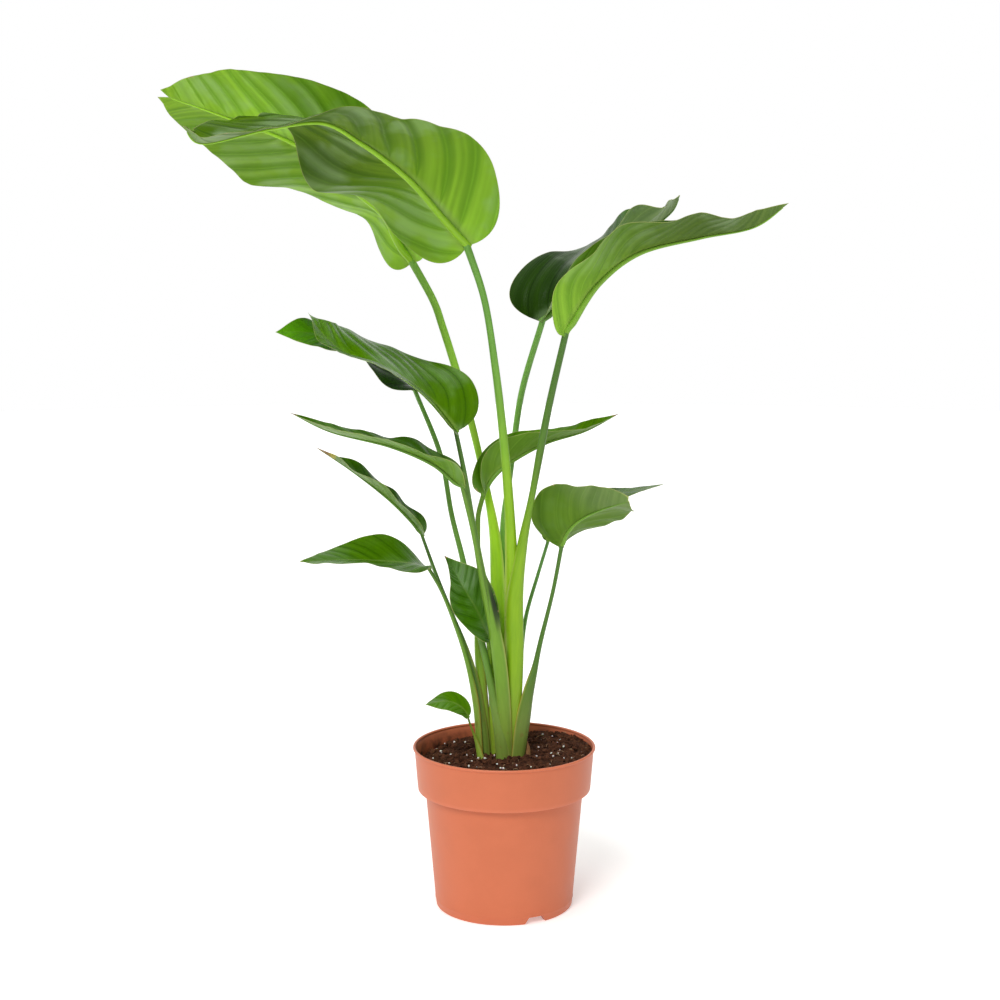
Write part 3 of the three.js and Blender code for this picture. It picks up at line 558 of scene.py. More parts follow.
def moulded_polypropylene(pot):
    """Terracotta-coloured polypropylene, injection moulded: a satin skin with very fine mould texture and
    duller rubbed edges, which gives broad soft highlights and no glare."""
    material, tree = new_material("Polypropylene, moulded satin")
    place = add_node(tree, "TexCoord", output="Object")
    flow = add_node(tree, "TexNoise", {"Vector": place, "Scale": 28, "Detail": 3})
    # The mould texture is 0.3 mm across on the real pot, drawn at 0.9 mm to show.
    grit = add_node(tree, "TexNoise", {"Vector": place, "Scale": 1100, "Detail": 2})
    height = add_node(tree, "SeparateXYZ", [place], output="Z")
    # Turning marks of the mould run round the pot 2 mm apart.
    rings = add_node(tree, "TexNoise", {"W": height, "Scale": 420, "Detail": 1}, noise_dimensions="1D")
    plastic = list(pot.plastic)
    body = add_node(tree, "Mix", {
        0: add_node(tree, "MapRange", [flow, 0.3, 0.7, 0, 1], **SOFT),
        6: [c * 0.975 for c in plastic], 7: [min(1, c * 1.02 + 0.002) for c in plastic]}, **TINT)
    specks = add_node(tree, "MapRange", [grit, 0.64, 0.8, 0, 0.7], **SOFT)
    # Painted shade darkens the inside of the wall, more from just under the rim downwards, in patches.
    shade_patches = add_node(tree, "TexNoise", {"Vector": place, "Scale": 60, "Detail": 5})
    shade_patches = add_node(tree, "MapRange", [shade_patches, 0.4, 0.72, 0.25, 1], **SOFT)
    inside = add_node(tree, "Attribute", output="Fac", attribute_name="inside")
    inner_shade = add_node(tree, "Math", [inside, shade_patches], **TIMES)
    rubbed = add_node(tree, "Attribute", output="Fac", attribute_name="rubbed")
    layers = (
        (specks, [min(1, c * 1.2 + 0.01) for c in plastic]),
        (inner_shade, linear("#3c2015")),
        (rubbed, [min(1, c * 1.2 + 0.05) for c in plastic]),
    )
    for amount, tint in layers:
        body = add_node(tree, "Mix", {0: amount, 6: body, 7: tint}, **TINT)
    heights = add_node(tree, "Math", [grit, 0.6], **TIMES)
    heights = add_node(tree, "Math", [rings, 0.5, heights], operation="MULTIPLY_ADD")
    bump = add_node(tree, "Bump", {"Height": heights, "Strength": 0.3, "Distance": 0.00012})
    shader = add_node(tree, "BsdfPrincipled", {
        "Base Color": body, "Roughness": add_node(tree, "MapRange", [flow, 0.2, 0.8, 0.42, 0.48], **SOFT),
        "IOR": 1.49, "Specular IOR Level": 0.35, "Subsurface Weight": 0.03, "Subsurface Scale": 0.002,
        "Subsurface Radius": (1.0, 0.35, 0.2), "Normal": bump})
    add_node(tree, "OutputMaterial", [shader])
    return material


def loose_peat(soil):
    """Moist peat mix with bark fines, tipped loose, with no shine. Painted shade makes its hollows nearly
    black, painted light makes its raised mounds a lighter brown, and some crumbs are lighter at random.
    """
    material, tree = new_material("Peat mix, loose and moist")
    place = add_node(tree, "TexCoord", output="Object")
    # Crumbs are 3 to 6 mm across and the fines between them about 1 mm.
    crumbs = add_node(tree, "TexNoise", {"Vector": place, "Scale": 190, "Detail": 6})
    fines = add_node(tree, "TexNoise", {"Vector": place, "Scale": 900, "Detail": 3})
    damp = add_node(tree, "TexNoise", {"Vector": place, "Scale": 30, "Detail": 2})
    shade = add_node(tree, "Attribute", output="Fac", attribute_name="shade")
    peat = list(soil.peat)
    # The crumb pattern also sets the bumps, and is painted nearly black where they sink: painted shade.
    body = add_node(tree, "Mix", {
        0: add_node(tree, "MapRange", [crumbs, 0.35, 0.68, 0, 1], **SOFT),
        6: [c * 0.4 for c in peat], 7: [c * 1.5 for c in peat]}, **TINT)
    moist = add_node(tree, "MapRange", [damp, 0.35, 0.65, 0, 0.4], **SOFT)
    dusted = add_node(tree, "MapRange", [fines, 0.6, 0.78, 0, 0.5], **SOFT)
    # shade is painted light on the raised soil, and a lighter tone at random on the crumbs.
    layers = ((moist, [c * 0.7 for c in peat]), (shade, linear("#7d5038")), (dusted, linear("#6b4635")))
    for amount, tint in layers:
        body = add_node(tree, "Mix", {0: amount, 6: body, 7: tint}, **TINT)
    heights = add_node(tree, "Math", [crumbs, fines], operation="ADD")
    bump = add_node(tree, "Bump", {"Height": heights, "Strength": 0.9, "Distance": 0.0014})
    shader = add_node(tree, "BsdfPrincipled", {
        "Base Color": body, "Roughness": 0.93, "Specular IOR Level": 0.15, "Normal": bump})
    add_node(tree, "OutputMaterial", [shader])
    return material


def expanded_perlite(soil):
    """Perlite, volcanic glass puffed by heat: chalk white grains full of tiny pits, a few stained by peat."""
    material, tree = new_material("Perlite, expanded")
    place = add_node(tree, "TexCoord", output="Object")
    pits = add_node(tree, "TexVoronoi", {"Vector": place, "Scale": 1500})
    stain = add_node(tree, "TexNoise", {"Vector": place, "Scale": 260, "Detail": 3})
    stained = add_node(tree, "MapRange", [stain, 0.56, 0.76, 0, 0.5], **SOFT)
    body = add_node(tree, "Mix", {0: stained, 6: list(soil.perlite), 7: linear("#a98f78")}, **TINT)
    bump = add_node(tree, "Bump", {"Height": pits, "Strength": 0.6, "Distance": 0.0004})
    shader = add_node(tree, "BsdfPrincipled", {
        "Base Color": body, "Roughness": 0.85, "Subsurface Weight": 0.2, "Subsurface Scale": 0.001,
        "Normal": bump})
    add_node(tree, "OutputMaterial", [shader])
    return material


def dried_root():
    """Root and stem fibre, air dried: pale straw to brown, matt, streaked along its length."""
    material, tree = new_material("Root fibre, dried")
    place = add_node(tree, "TexCoord", output="Object")
    streaks = add_node(tree, "TexNoise", {"Vector": place, "Scale": 160, "Detail": 3})
    body = add_node(tree, "Mix", {
        0: add_node(tree, "MapRange", [streaks, 0.35, 0.65, 0, 1], **SOFT),
        6: linear("#6b4a30"), 7: linear("#b39372")}, **TINT)
    bump = add_node(tree, "Bump", {"Height": streaks, "Strength": 0.4, "Distance": 0.0003})
    shader = add_node(tree, "BsdfPrincipled", {"Base Color": body, "Roughness": 0.8, "Normal": bump})
    add_node(tree, "OutputMaterial", [shader])
    return material


def waxy_stalk(stalks):
    """Living stalk with a thin wax bloom: smooth satin green with long fine streaks of fibre, a thin yellow
    membrane along a sheath's free margin and a dried orange-brown line on its edge."""
    material, tree = new_material("Stalk, living with wax bloom")
    keys = ("round", "along", "hue", "tone", "away", "wrapped", "pale", "hollow", "browned")
    round_mm, along_mm, hue, tone, away, wrapped, pale, hollow, browned = (
        add_node(tree, "Attribute", output="Fac", attribute_name=key) for key in keys)
    # The streaks are drawn out to 30 times their width along the stalk.
    flat = add_node(tree, "Math", [along_mm, 0.03], **TIMES)
    place = add_node(tree, "CombineXYZ", [round_mm, flat])
    streaks = add_node(tree, "TexNoise", {
        "Vector": place, "Scale": MM / max(stalks.fibre, 1e-6), "Detail": 3})
    wide = add_node(tree, "CombineXYZ", [add_node(tree, "Math", [round_mm, 0.2], **TIMES), flat])
    patches = add_node(tree, "TexNoise", {"Vector": wide, "Scale": 0.9, "Detail": 2})
    body = add_node(tree, "Mix", {0: hue, 6: list(stalks.bluish), 7: list(stalks.yellowish)}, **TINT)
    # tone scales the colour: partly the stalk's own tone, partly painted shade and light.
    body = add_node(tree, "VectorMath", {0: body, "Scale": tone}, operation="SCALE")
    lighter = add_node(tree, "Mix", {0: 1.0, 6: body, 7: (1.45, 1.3, 1.5)}, **FILTER)
    darker = add_node(tree, "Mix", {0: 1.0, 6: body, 7: (0.55, 0.62, 0.5)}, **FILTER)
    patched = add_node(tree, "MapRange", [patches, 0.38, 0.7, 0, 0.3], **SOFT)
    light_streaks = add_node(tree, "MapRange", [streaks, 0.5, 0.75, 0, 0.35], **SOFT)
    dark_streaks = add_node(tree, "MapRange", [streaks, 0.42, 0.25, 0, 0.35], **SOFT)
    object_place = add_node(tree, "TexCoord", output="Object")
    scuffs = add_node(tree, "TexNoise", {"Vector": object_place, "Scale": 120, "Detail": 4})
    scuffs = add_node(tree, "MapRange", [scuffs, 0.6, 0.74, 0, 1.6], **SOFT)
    scuffed = add_node(tree, "Math", [scuffs, pale], **TIMES)
    membrane = add_node(tree, "Math", [
        add_node(tree, "MapRange", [away, 4.5, 0.8, 0, 0.4], **SOFT), wrapped], **TIMES)
    line = add_node(tree, "Math", [
        add_node(tree, "MapRange", [away, 1.2, 0.4, 0, 0.85], **SOFT), browned], **TIMES)
    # Towards the soil the sheaths are a little paler and yellower, with a few brown scuffs. The hollow of an
    # open
    # sheath is painted nearly black: painted shade.
    layers = (
        (patched, lighter), (light_streaks, lighter), (dark_streaks, darker),
        (pale, linear("#a9b352")), (scuffed, linear("#7d5c2c")), (hollow, linear("#1c2c0c")),
        (membrane, linear("#c9cf70")), (line, list(stalks.margin)),
    )
    for amount, tint in layers:
        body = add_node(tree, "Mix", {0: amount, 6: body, 7: tint}, **TINT)
    bump = add_node(tree, "Bump", {"Height": streaks, "Strength": 0.22, "Distance": 0.0002})
    shader = add_node(tree, "BsdfPrincipled", {
        "Base Color": body, "Roughness": add_node(tree, "MapRange", [streaks, 0.3, 0.7, 0.36, 0.46], **SOFT),
        "IOR": 1.43, "Specular IOR Level": 0.35, "Subsurface Weight": 0.1, "Subsurface Scale": 0.002,
        "Subsurface Radius": (0.5, 1.0, 0.2), "Normal": bump})
    add_node(tree, "OutputMaterial", [shader])
    return material


def living_blade(name, leaves, old, young, glow, roughness, relief, crease, bloom):
    """Living blade with its waxy skin: fine side veins and broad folds run from midrib to margin, with a
    crisp crease between two folds; the rib and the margin are pale and some tips are dried. Painted shade
    darkens the valleys of the folds and a pale sheen is painted on their crests, a painted highlight. crease
    tints the creases, painted shade on the upper face and a painted sheen on the underside. bloom is how grey
    an old blade turns towards its tip, partly its wax bloom and partly a painted sheen. Its colour is also
    scaled along it, partly its own colour and partly painted shade and light. Light from behind shows through
    in the colour glow."""
    material, tree = new_material(name)
    keys = ("vein", "out", "fold", "rib", "edge", "dried", "youth", "reach", "tone", "wax")
    vein, out, fold, rib, edge, dried, youth, reach, tone, wax = (
        add_node(tree, "Attribute", output="Fac", attribute_name=key) for key in keys)
    # Every vein is drawn out to 20 times its width.
    slow = add_node(tree, "Math", [out, 0.05], **TIMES)
    place = add_node(tree, "CombineXYZ", [vein, slow])
    fine = add_node(tree, "TexNoise", {"Vector": place, "Scale": MM / max(leaves.vein, 1e-6), "Detail": 2})
    broad = add_node(tree, "TexNoise", {"Vector": place, "Scale": MM / max(leaves.fold, 1e-6), "Detail": 1})
    object_place = add_node(tree, "TexCoord", output="Object")
    mottle = add_node(tree, "TexNoise", {"Vector": object_place, "Scale": 22, "Detail": 3})
    body = add_node(tree, "Mix", {0: youth, 6: old, 7: young}, **TINT)
    # Towards its tip an old blade is mixed to grey, partly its wax bloom and partly a painted sheen.
    waxed = add_node(tree, "Math", [
        add_node(tree, "MapRange", [reach, 0.3, 0.85, 0, bloom], **SOFT),
        add_node(tree, "MapRange", [youth, 0.9, 0.2, 0, 1], **SOFT)], **TIMES)
    body = add_node(tree, "Mix", {0: waxed, 6: body, 7: linear("#8a8f80")}, **TINT)
    # tone scales the colour: partly the blade's own tone, partly painted shade and light.
    body = add_node(tree, "VectorMath", {0: body, "Scale": tone}, operation="SCALE")
    lighter = add_node(tree, "Mix", {0: 1.0, 6: body, 7: (1.22, 1.16, 1.15)}, **FILTER)
    darker = add_node(tree, "Mix", {0: 1.0, 6: body, 7: (0.58, 0.68, 0.55)}, **FILTER)
    banded = add_node(tree, "MapRange", [broad, 0.3, 0.7, 0.25, 0.9], **SOFT)
    body = add_node(tree, "Mix", {0: banded, 6: darker, 7: lighter}, **TINT)
    mottled = add_node(tree, "MapRange", [mottle, 0.35, 0.65, 0, 0.3], **SOFT)
    body = add_node(tree, "Mix", {0: mottled, 6: body, 7: lighter}, **TINT)
    veins = add_node(tree, "MapRange", [fine, 0.54, 0.74, 0, 0.22], **SOFT)
    bright = add_node(tree, "Mix", {0: 1.0, 6: body, 7: (1.6, 1.45, 1.5)}, **FILTER)
    body = add_node(tree, "Mix", {0: veins, 6: body, 7: bright}, **TINT)
    ridge = add_node(tree, "Math", [fold], operation="ABSOLUTE")
    # A pale sheen is painted on the crests of the folds, in patches some 60 mm across, a painted highlight;
    # the same patches make the wax glossier.
    patch = add_node(tree, "TexNoise", {"Vector": object_place, "Scale": 15, "Detail": 3})
    sheen = add_node(tree, "Math", [
        add_node(tree, "MapRange", [ridge, 0.2, 0.8, 0.35, 1], **SOFT),
        add_node(tree, "MapRange", [patch, 0.46, 0.62, 0, 1], **SOFT)], **TIMES)
    sheen = add_node(tree, "Math", [sheen, wax], **TIMES)
    painted_sheen = add_node(tree, "Math", [sheen, 0.35], **TIMES)
    body = add_node(tree, "Mix", {0: painted_sheen, 6: body, 7: linear("#a0c884")}, **TINT)
    # Painted shade darkens the valleys of the folds, more in a young blade.
    painted_fold_shade = add_node(tree, "Math", [
        add_node(tree, "MapRange", [ridge, 0.8, 0.05, 0, 1], **SOFT),
        add_node(tree, "MapRange", [youth, 0.2, 0.9, 0.25, 1], **SOFT)], **TIMES)
    body = add_node(tree, "Mix", {0: painted_fold_shade, 6: body, 7: darker}, **TINT)
    # Painted shade darkens the crease on the upper face, and a painted sheen lightens it on the underside.
    sharp = add_node(tree, "MapRange", [ridge, 0.16, 0, 0, 1], **SOFT)
    clear = add_node(tree, "MapRange", [out, 2, 8, 0, 0.7], **SOFT)
    creased = add_node(tree, "Math", [sharp, clear], **TIMES)
    painted_crease = add_node(tree, "Mix", {0: 1.0, 6: body, 7: crease}, **FILTER)
    body = add_node(tree, "Mix", {0: creased, 6: body, 7: painted_crease}, **TINT)
    # The rib is pale and broad in a young blade, and thinner and duller in an old one.
    ribbed = add_node(tree, "Math", [
        add_node(tree, "MapRange", [rib, 1.6, 0.2, 0, 1], **SOFT),
        add_node(tree, "MapRange", [youth, 0, 1, 0.1, 0.85])], **TIMES)
    dimmed = add_node(tree, "Math", [tone, 1.0], operation="MINIMUM")
    pale = add_node(tree, "VectorMath", {0: list(leaves.midrib), "Scale": dimmed}, operation="SCALE")
    line = leaves.margin_line / MM
    bordered = add_node(tree, "MapRange", [edge, line, 0.25 * line, 0, 0.7], **SOFT)
    # Old scuffs and dried nibbles stand within some 5 mm of the margin.
    nibbles = add_node(tree, "TexNoise", {"Vector": object_place, "Scale": 120, "Detail": 4})
    nibbled = add_node(tree, "Math", [
        add_node(tree, "MapRange", [nibbles, 0.66, 0.72, 0, 1], **SOFT),
        add_node(tree, "MapRange", [edge, 4, 1, 0, 1], **SOFT)], **TIMES)
    ragged = add_node(tree, "Math", [nibbles, 0.5, dried], operation="MULTIPLY_ADD")
    yellowed = add_node(tree, "MapRange", [ragged, 0.42, 0.62, 0, 1], **SOFT)
    browned = add_node(tree, "MapRange", [ragged, 0.7, 1.0, 0, 1], **SOFT)
    layers = (
        (ribbed, pale), (bordered, linear("#b9bf72")), (nibbled, linear("#b5a163")),
        (yellowed, linear("#a8a048")), (browned, list(leaves.dry)),
    )
    for amount, tint in layers:
        body = add_node(tree, "Mix", {0: amount, 6: body, 7: tint}, **TINT)
    heights = add_node(tree, "Math", [broad, 0.6, fine], operation="MULTIPLY_ADD")
    heights = add_node(tree, "Math", [creased, -0.5, heights], operation="MULTIPLY_ADD")
    bump = add_node(tree, "Bump", {"Height": heights, "Strength": relief, "Distance": 0.0006})
    shader = add_node(tree, "BsdfPrincipled", {
        "Base Color": body,
        "Roughness": add_node(tree, "MapRange", [fine, 0.3, 0.7, roughness - 0.04, roughness + 0.05], **SOFT),
        "IOR": 1.35, "Normal": bump,
        "Specular IOR Level": add_node(tree, "MapRange", [sheen, 0, 0.6, 0.12, 1.0])})
    light = add_node(tree, "Mix", {0: banded, 6: glow, 7: [min(1, c * 1.25) for c in glow]}, **TINT)
    light = add_node(tree, "VectorMath", {0: light, "Scale": dimmed}, operation="SCALE")
    light = add_node(tree, "Mix", {0: browned, 6: light, 7: list(leaves.dry)}, **TINT)
    back = add_node(tree, "BsdfTranslucent", {"Color": light, "Normal": bump})
    amount = add_node(tree, "MapRange", [youth, 0, 1, 0.1, 0.3])
    add_node(tree, "OutputMaterial", [add_node(tree, "MixShader", [amount, shader, back])])
    return material


def dried_scale(leaves):
    """Outer scale of the clump, dried to paper: tan with brown streaks along it, matt and creased."""
    material, tree = new_material("Sheath scale, dried")
    vein, out = (add_node(tree, "Attribute", output="Fac", attribute_name=key) for key in ("vein", "out"))
    slow = add_node(tree, "Math", [vein, 0.08], **TIMES)
    place = add_node(tree, "CombineXYZ", [out, slow])
    streaks = add_node(tree, "TexNoise", {"Vector": place, "Scale": 1.4, "Detail": 3})
    body = add_node(tree, "Mix", {
        0: add_node(tree, "MapRange", [streaks, 0.35, 0.65, 0, 1], **SOFT),
        6: linear("#7a5230"), 7: list(leaves.scale)}, **TINT)
    bump = add_node(tree, "Bump", {"Height": streaks, "Strength": 0.5, "Distance": 0.0005})
    shader = add_node(tree, "BsdfPrincipled", {"Base Color": body, "Roughness": 0.78, "Normal": bump})
    add_node(tree, "OutputMaterial", [shader])
    return material


def matt_floor(stage):
    """Opal acrylic, cast and sanded matt, lit from below: an even white with a faint grain."""
    material, tree = new_material("Opal acrylic, cast and sanded")
    place = add_node(tree, "TexCoord", output="Object")
    roller = add_node(tree, "TexNoise", {"Vector": place, "Scale": 300, "Detail": 2})
    bump = add_node(tree, "Bump", {"Height": roller, "Strength": 0.1, "Distance": 0.0002})
    shader = add_node(tree, "BsdfPrincipled", {
        "Base Color": list(stage.floor_colour), "Roughness": 0.9, "Normal": bump,
        "Emission Color": (1, 1, 1), "Emission Strength": stage.floor_glow})
    add_node(tree, "OutputMaterial", [shader])
    return material


# ---- Pot -----------------------------------------------------------------------------------------------


POT_SIDES = 144
DRAIN_HOLES, FIRST_HOLE = 6, 30  # number, and direction of the first one in degrees
DRAIN_RING, DRAIN_RADIUS = 0.048, 0.0045
FOOT_NOTCHES, FIRST_NOTCH = 3, -63
NOTCH_TOP = 0.008


def arc(centre, radius, start, end, count):
    angles = np.radians(np.linspace(start, end, count))
    return [(centre[0] + radius * math.cos(a), centre[1] + radius * math.sin(a)) for a in angles]


def pot_profile(pot):
    """Radius and height of the pot's section in millimetres, from the pad's middle round to the floor's."""
    collar_foot = pot.height - pot.collar_height
    ledge = collar_foot + pot.wall
    inner_floor = pot.foot_height + pot.floor
    rim = pot.rim_radius - pot.bead_radius
    up = pot.wall / pot.collar_height
    collar_in = pot.collar_foot_radius + (rim - pot.collar_foot_radius) * up - pot.wall

    def body_in(z):
        return pot.base_radius + (pot.body_top_radius - pot.base_radius) * z / collar_foot - pot.wall

    def body_out(z):
        return body_in(z) + pot.wall

    ridge = pot.foot_height + 0.0005
    profile = [(0, 0), (pot.pad_radius * 0.5, 0), (pot.pad_radius - 0.0005, 0), (pot.pad_radius, 0.0005),
               (pot.pad_radius + 0.0012, pot.foot_height - 0.0005),
               (pot.pad_radius + 0.002, pot.foot_height)]
    ring_in = pot.base_radius - pot.foot_width
    profile += [(ring_in - 0.002, pot.foot_height), (ring_in - 0.001, pot.foot_height - 0.001),
                (ring_in - 0.0003, 0.0008), (ring_in + 0.0005, 0)]
    profile += [(pot.base_radius - 0.0024, 0)]
    profile += arc((pot.base_radius - 0.0022, 0.0022), 0.0022, -80, 0, 5)
    # A faint raised line where the mould parts runs round the pot just above the foot.
    profile += [(body_out(ridge - 0.0012), ridge - 0.0012), (body_out(ridge) + 0.00035, ridge - 0.0003),
                (body_out(ridge) + 0.00035, ridge + 0.0003), (body_out(ridge + 0.0012), ridge + 0.0012)]
    profile += [(body_out(z), z) for z in np.linspace(0.03, collar_foot - 0.003, 5)]
    profile += [(body_out(collar_foot) + 0.0001, collar_foot - 0.0006),
                (body_out(collar_foot) + 0.0008, collar_foot)]
    profile += [(pot.collar_foot_radius - 0.0012, collar_foot)]
    profile += arc((pot.collar_foot_radius - 0.0009, collar_foot + 0.0009), 0.0009, -70, 0, 4)
    span = pot.collar_height - 2.2 * pot.bead_radius
    profile += [(pot.collar_foot_radius + (rim - pot.collar_foot_radius) * part * span / pot.collar_height,
                 collar_foot + part * span) for part in (0.1, 0.3, 0.5, 0.7, 0.9, 1.0)]
    profile += arc((rim, pot.height - pot.bead_radius), pot.bead_radius, -60, 240, 13)
    profile += [(collar_in + (rim - pot.wall - collar_in) * part, ledge + part * (pot.height - ledge))
                for part in (0.88, 0.6, 0.3, 0.0)]
    profile += [(body_in(ledge), ledge)]
    profile += [(body_in(z), z) for z in np.linspace(ledge - 0.002, inner_floor + 0.001, 4)]
    profile += [(body_in(inner_floor) - 0.001, inner_floor), (pot.pad_radius, inner_floor),
                (pot.pad_radius - 0.0015, pot.floor), (0, pot.floor)]
    return np.array(profile) / MM


def cutter(name, points, faces):
    mesh = bpy.data.meshes.new(name)
    mesh.from_pydata(points, [], faces)
    return bpy.data.objects.new(name, mesh)


def pot_openings(pot):
    """Drain holes in the raised bottom and notches in the foot ring, as one mesh to cut away."""
    points, faces = [], []

    def prism(outline, shift, place):
        base, count = len(points), len(outline)
        for end in (0, 1):
            points.extend(place(p, end * shift) for p in outline)
        ring = list(range(base, base + count))
        faces.append(ring[::-1])
        faces.append([i + count for i in ring])
        faces.extend([ring[i], ring[(i + 1) % count], ring[(i + 1) % count] + count, ring[i] + count]
                     for i in range(count))

    angles = np.linspace(0, 2 * math.pi, 33)[:-1]
    circle = [(math.cos(a) * DRAIN_RADIUS, math.sin(a) * DRAIN_RADIUS) for a in angles]
    for i in range(DRAIN_HOLES):
        turn = math.radians(FIRST_HOLE + 360 // DRAIN_HOLES * i)
        x, y = DRAIN_RING * math.cos(turn), DRAIN_RING * math.sin(turn)
        prism(circle, 0.008, lambda p, z, x=x, y=y: (x + p[0], y + p[1], pot.foot_height - 0.004 + z))
    outline = [(-0.014, -0.001), (0.014, -0.001), (0.0093, 0.0072), (0.0085, NOTCH_TOP),
               (-0.0085, NOTCH_TOP), (-0.0093, 0.0072)]
    for i in range(FOOT_NOTCHES):
        turn = math.radians(FIRST_NOTCH + 360 // FOOT_NOTCHES * i)
        out, side = (math.cos(turn), math.sin(turn)), (-math.sin(turn), math.cos(turn))
        start = pot.base_radius - 2 * pot.foot_width

        def place(p, run, out=out, side=side, start=start):
            return (out[0] * (start + run) + side[0] * p[0], out[1] * (start + run) + side[1] * p[0], p[1])

        prism(outline, 3 * pot.foot_width, place)
    return cutter("pot_openings", points, faces)


def mould_pot(pot):
    profile = pot_profile(pot)
    inner = profile[1:-1]
    shell = Shell()
    shell.add(revolved(inner, full_turn(POT_SIDES)), grid_faces(len(inner), POT_SIDES, closed=True))
    shell.cap(profile[0, 1], 0, POT_SIDES, flipped=True)
    shell.cap(profile[-1, 1], (len(inner) - 1) * POT_SIDES, POT_SIDES)
    piece = shell.make("moulded_pot", [moulded_polypropylene(pot)], "pot", sharp=35)
    openings = pot_openings(pot)
    bpy.context.scene.collection.objects.link(openings)
    cut = piece.modifiers.new("openings", "BOOLEAN")
    cut.operation, cut.object, cut.solver = "DIFFERENCE", openings, "EXACT"
    graph = bpy.context.evaluated_depsgraph_get()
    mesh = bpy.data.meshes.new_from_object(piece.evaluated_get(graph))
    piece.modifiers.clear()
    piece.data = mesh
    bpy.data.objects.remove(openings)
    mesh.shade_smooth()
    mesh.set_sharp_from_angle(angle=math.radians(35))
    places = np.empty(len(mesh.vertices) * 3)
    mesh.vertices.foreach_get("co", places)
    places = places.reshape(-1, 3)
    radius = np.hypot(places[:, 0], places[:, 1])
    z = places[:, 2]
    outer = np.interp(z, [0, pot.height], [pot.base_radius, pot.rim_radius])
    # The inside of the wall gets painted shade, darker from just under the rim downwards.
    inside = (radius < outer - 0.0012) & (z > pot.height - pot.collar_height) & (z < pot.height - 0.004)
    inner_shade_depth = np.clip((pot.height - 0.003 - z) / 0.012, 0, 1) * inside * 1.4
    rubbed = np.exp(-(((z - pot.height) / 0.0012) ** 2)) * 0.5
    collar_edge = np.hypot(z - (pot.height - pot.collar_height), radius - pot.collar_foot_radius)
    rubbed = np.maximum(rubbed, 0.35 * np.exp(-((collar_edge / 0.0015) ** 2)))
    store(mesh, "inside", inner_shade_depth)
    store(mesh, "rubbed", rubbed)


# ---- Soil ----------------------------------------------------------------------------------------------


SOIL_SIDES, SOIL_RINGS = 200, 84
GAP = 0.7  # between the soil and the pot's wall
LEAN = 4.2 * 37 / 50  # how far the collar leans out between its foot and the soil's edge


def soil_height(x, y, soil):
    """Height of the soil in millimetres: higher on the right, low mounds, clods and crumbs."""
    mounds = 1.8 * np.sin(x / 17 + 1) * np.cos(y / 23 + 0.5)
    clods = np.sin(x / 7 + 2) * np.sin(y / 6)
    return soil.level / MM + 0.085 * x + mounds + clods


def rough(points, size, seed):
    return np.array([noise.noise(Vector((x / size + seed, y / size, z / size))) for x, y, z in points])


def fill_soil(soil, pot):
    collar_in = (pot.collar_foot_radius - pot.wall) / MM
    edge = collar_in + LEAN - GAP
    radii = edge * np.linspace(0, 1, SOIL_RINGS + 1)[1:] ** 0.9
    turns = full_turn(SOIL_SIDES)
    x, y = np.outer(radii, np.cos(turns)), np.outer(radii, np.sin(turns))
    flat = np.stack([x, y, np.zeros_like(x)], axis=-1).reshape(-1, 3)
    bumps = 3.2 * rough(flat, 9, 3) + 2.2 * rough(flat, 4.2, 11) + 0.9 * rough(flat, 1.7, 23)
    z = soil_height(x, y, soil) + bumps.reshape(x.shape) * np.clip((edge - radii) / 4, 0.3, 1)[:, None]
    top = np.stack([x, y, z], axis=-1)
    floor = pot.foot_height / MM + pot.floor / MM + 0.35
    ledge = (pot.height - pot.collar_height + pot.wall) / MM + 0.35
    body = (pot.body_top_radius - pot.wall) / MM - GAP
    base = (pot.base_radius - pot.wall) / MM + 0.3
    below = np.array([(collar_in - 0.4, ledge), (body, ledge), (base, floor),
                      (pot.pad_radius / MM - GAP, floor), (pot.pad_radius / MM - 2.2, pot.floor / MM + 0.35)])
    rows = np.concatenate([top, revolved(below, turns)])
    shell = Shell()
    shade = np.zeros(rows.shape[:2])
    # Raised soil is painted a lighter brown: painted light on the tops of the mounds.
    shade[:len(top)] = np.clip(bumps.reshape(x.shape) * 0.13, 0, 0.35)
    shell.add(rows, grid_faces(len(rows), SOIL_SIDES, closed=True, flipped=True), shade=shade)
    shell.cap(float(soil_height(0.0, 0.0, soil)), 0, SOIL_SIDES)
    shell.cap(pot.floor / MM + 0.35, (len(rows) - 1) * SOIL_SIDES, SOIL_SIDES, flipped=True)
    peat = loose_peat(soil)
    shell.make("peat_mix", [peat], "soil", sharp=180)
    scatter_crumbs(soil, edge, peat)
    scatter_grains(soil, edge)
    lay_fibres(soil, edge)


def pebble_shape(subdivisions):
    ball = bmesh.new()
    bmesh.ops.create_icosphere(ball, subdivisions=subdivisions, radius=1)
    points = np.array([vertex.co[:] for vertex in ball.verts])
    faces = [[vertex.index for vertex in face.verts] for face in ball.faces]
    ball.free()
    return points, faces


def turned(points, draws):
    """points turned to a random direction."""
    axis = unit(draws.normal(size=3))
    angle = draws.uniform(0, 2 * math.pi)
    along = np.outer(points @ axis, axis)
    return points * math.cos(angle) + np.cross(axis, points) * math.sin(angle) + along * (1 - math.cos(angle))


def pebbles(shell, places, sizes, draws, subdivisions, jagged, flatness=0.65, shade=(0, 0)):
    points, faces = pebble_shape(subdivisions)
    for place, size in zip(places, sizes):
        bulges = 1 + jagged * draws.uniform(-1, 1, len(points))
        stretch = draws.uniform([1, 0.7, flatness - 0.15], [1.25, 1, flatness + 0.15])
        one = turned(points * bulges[:, None] * stretch, draws) * size / 2
        shell.add(one + place, faces, shade=draws.uniform(*shade))


def around_clump(x, y):
    return np.hypot(x / 38, (y - 9) / 26) < 1


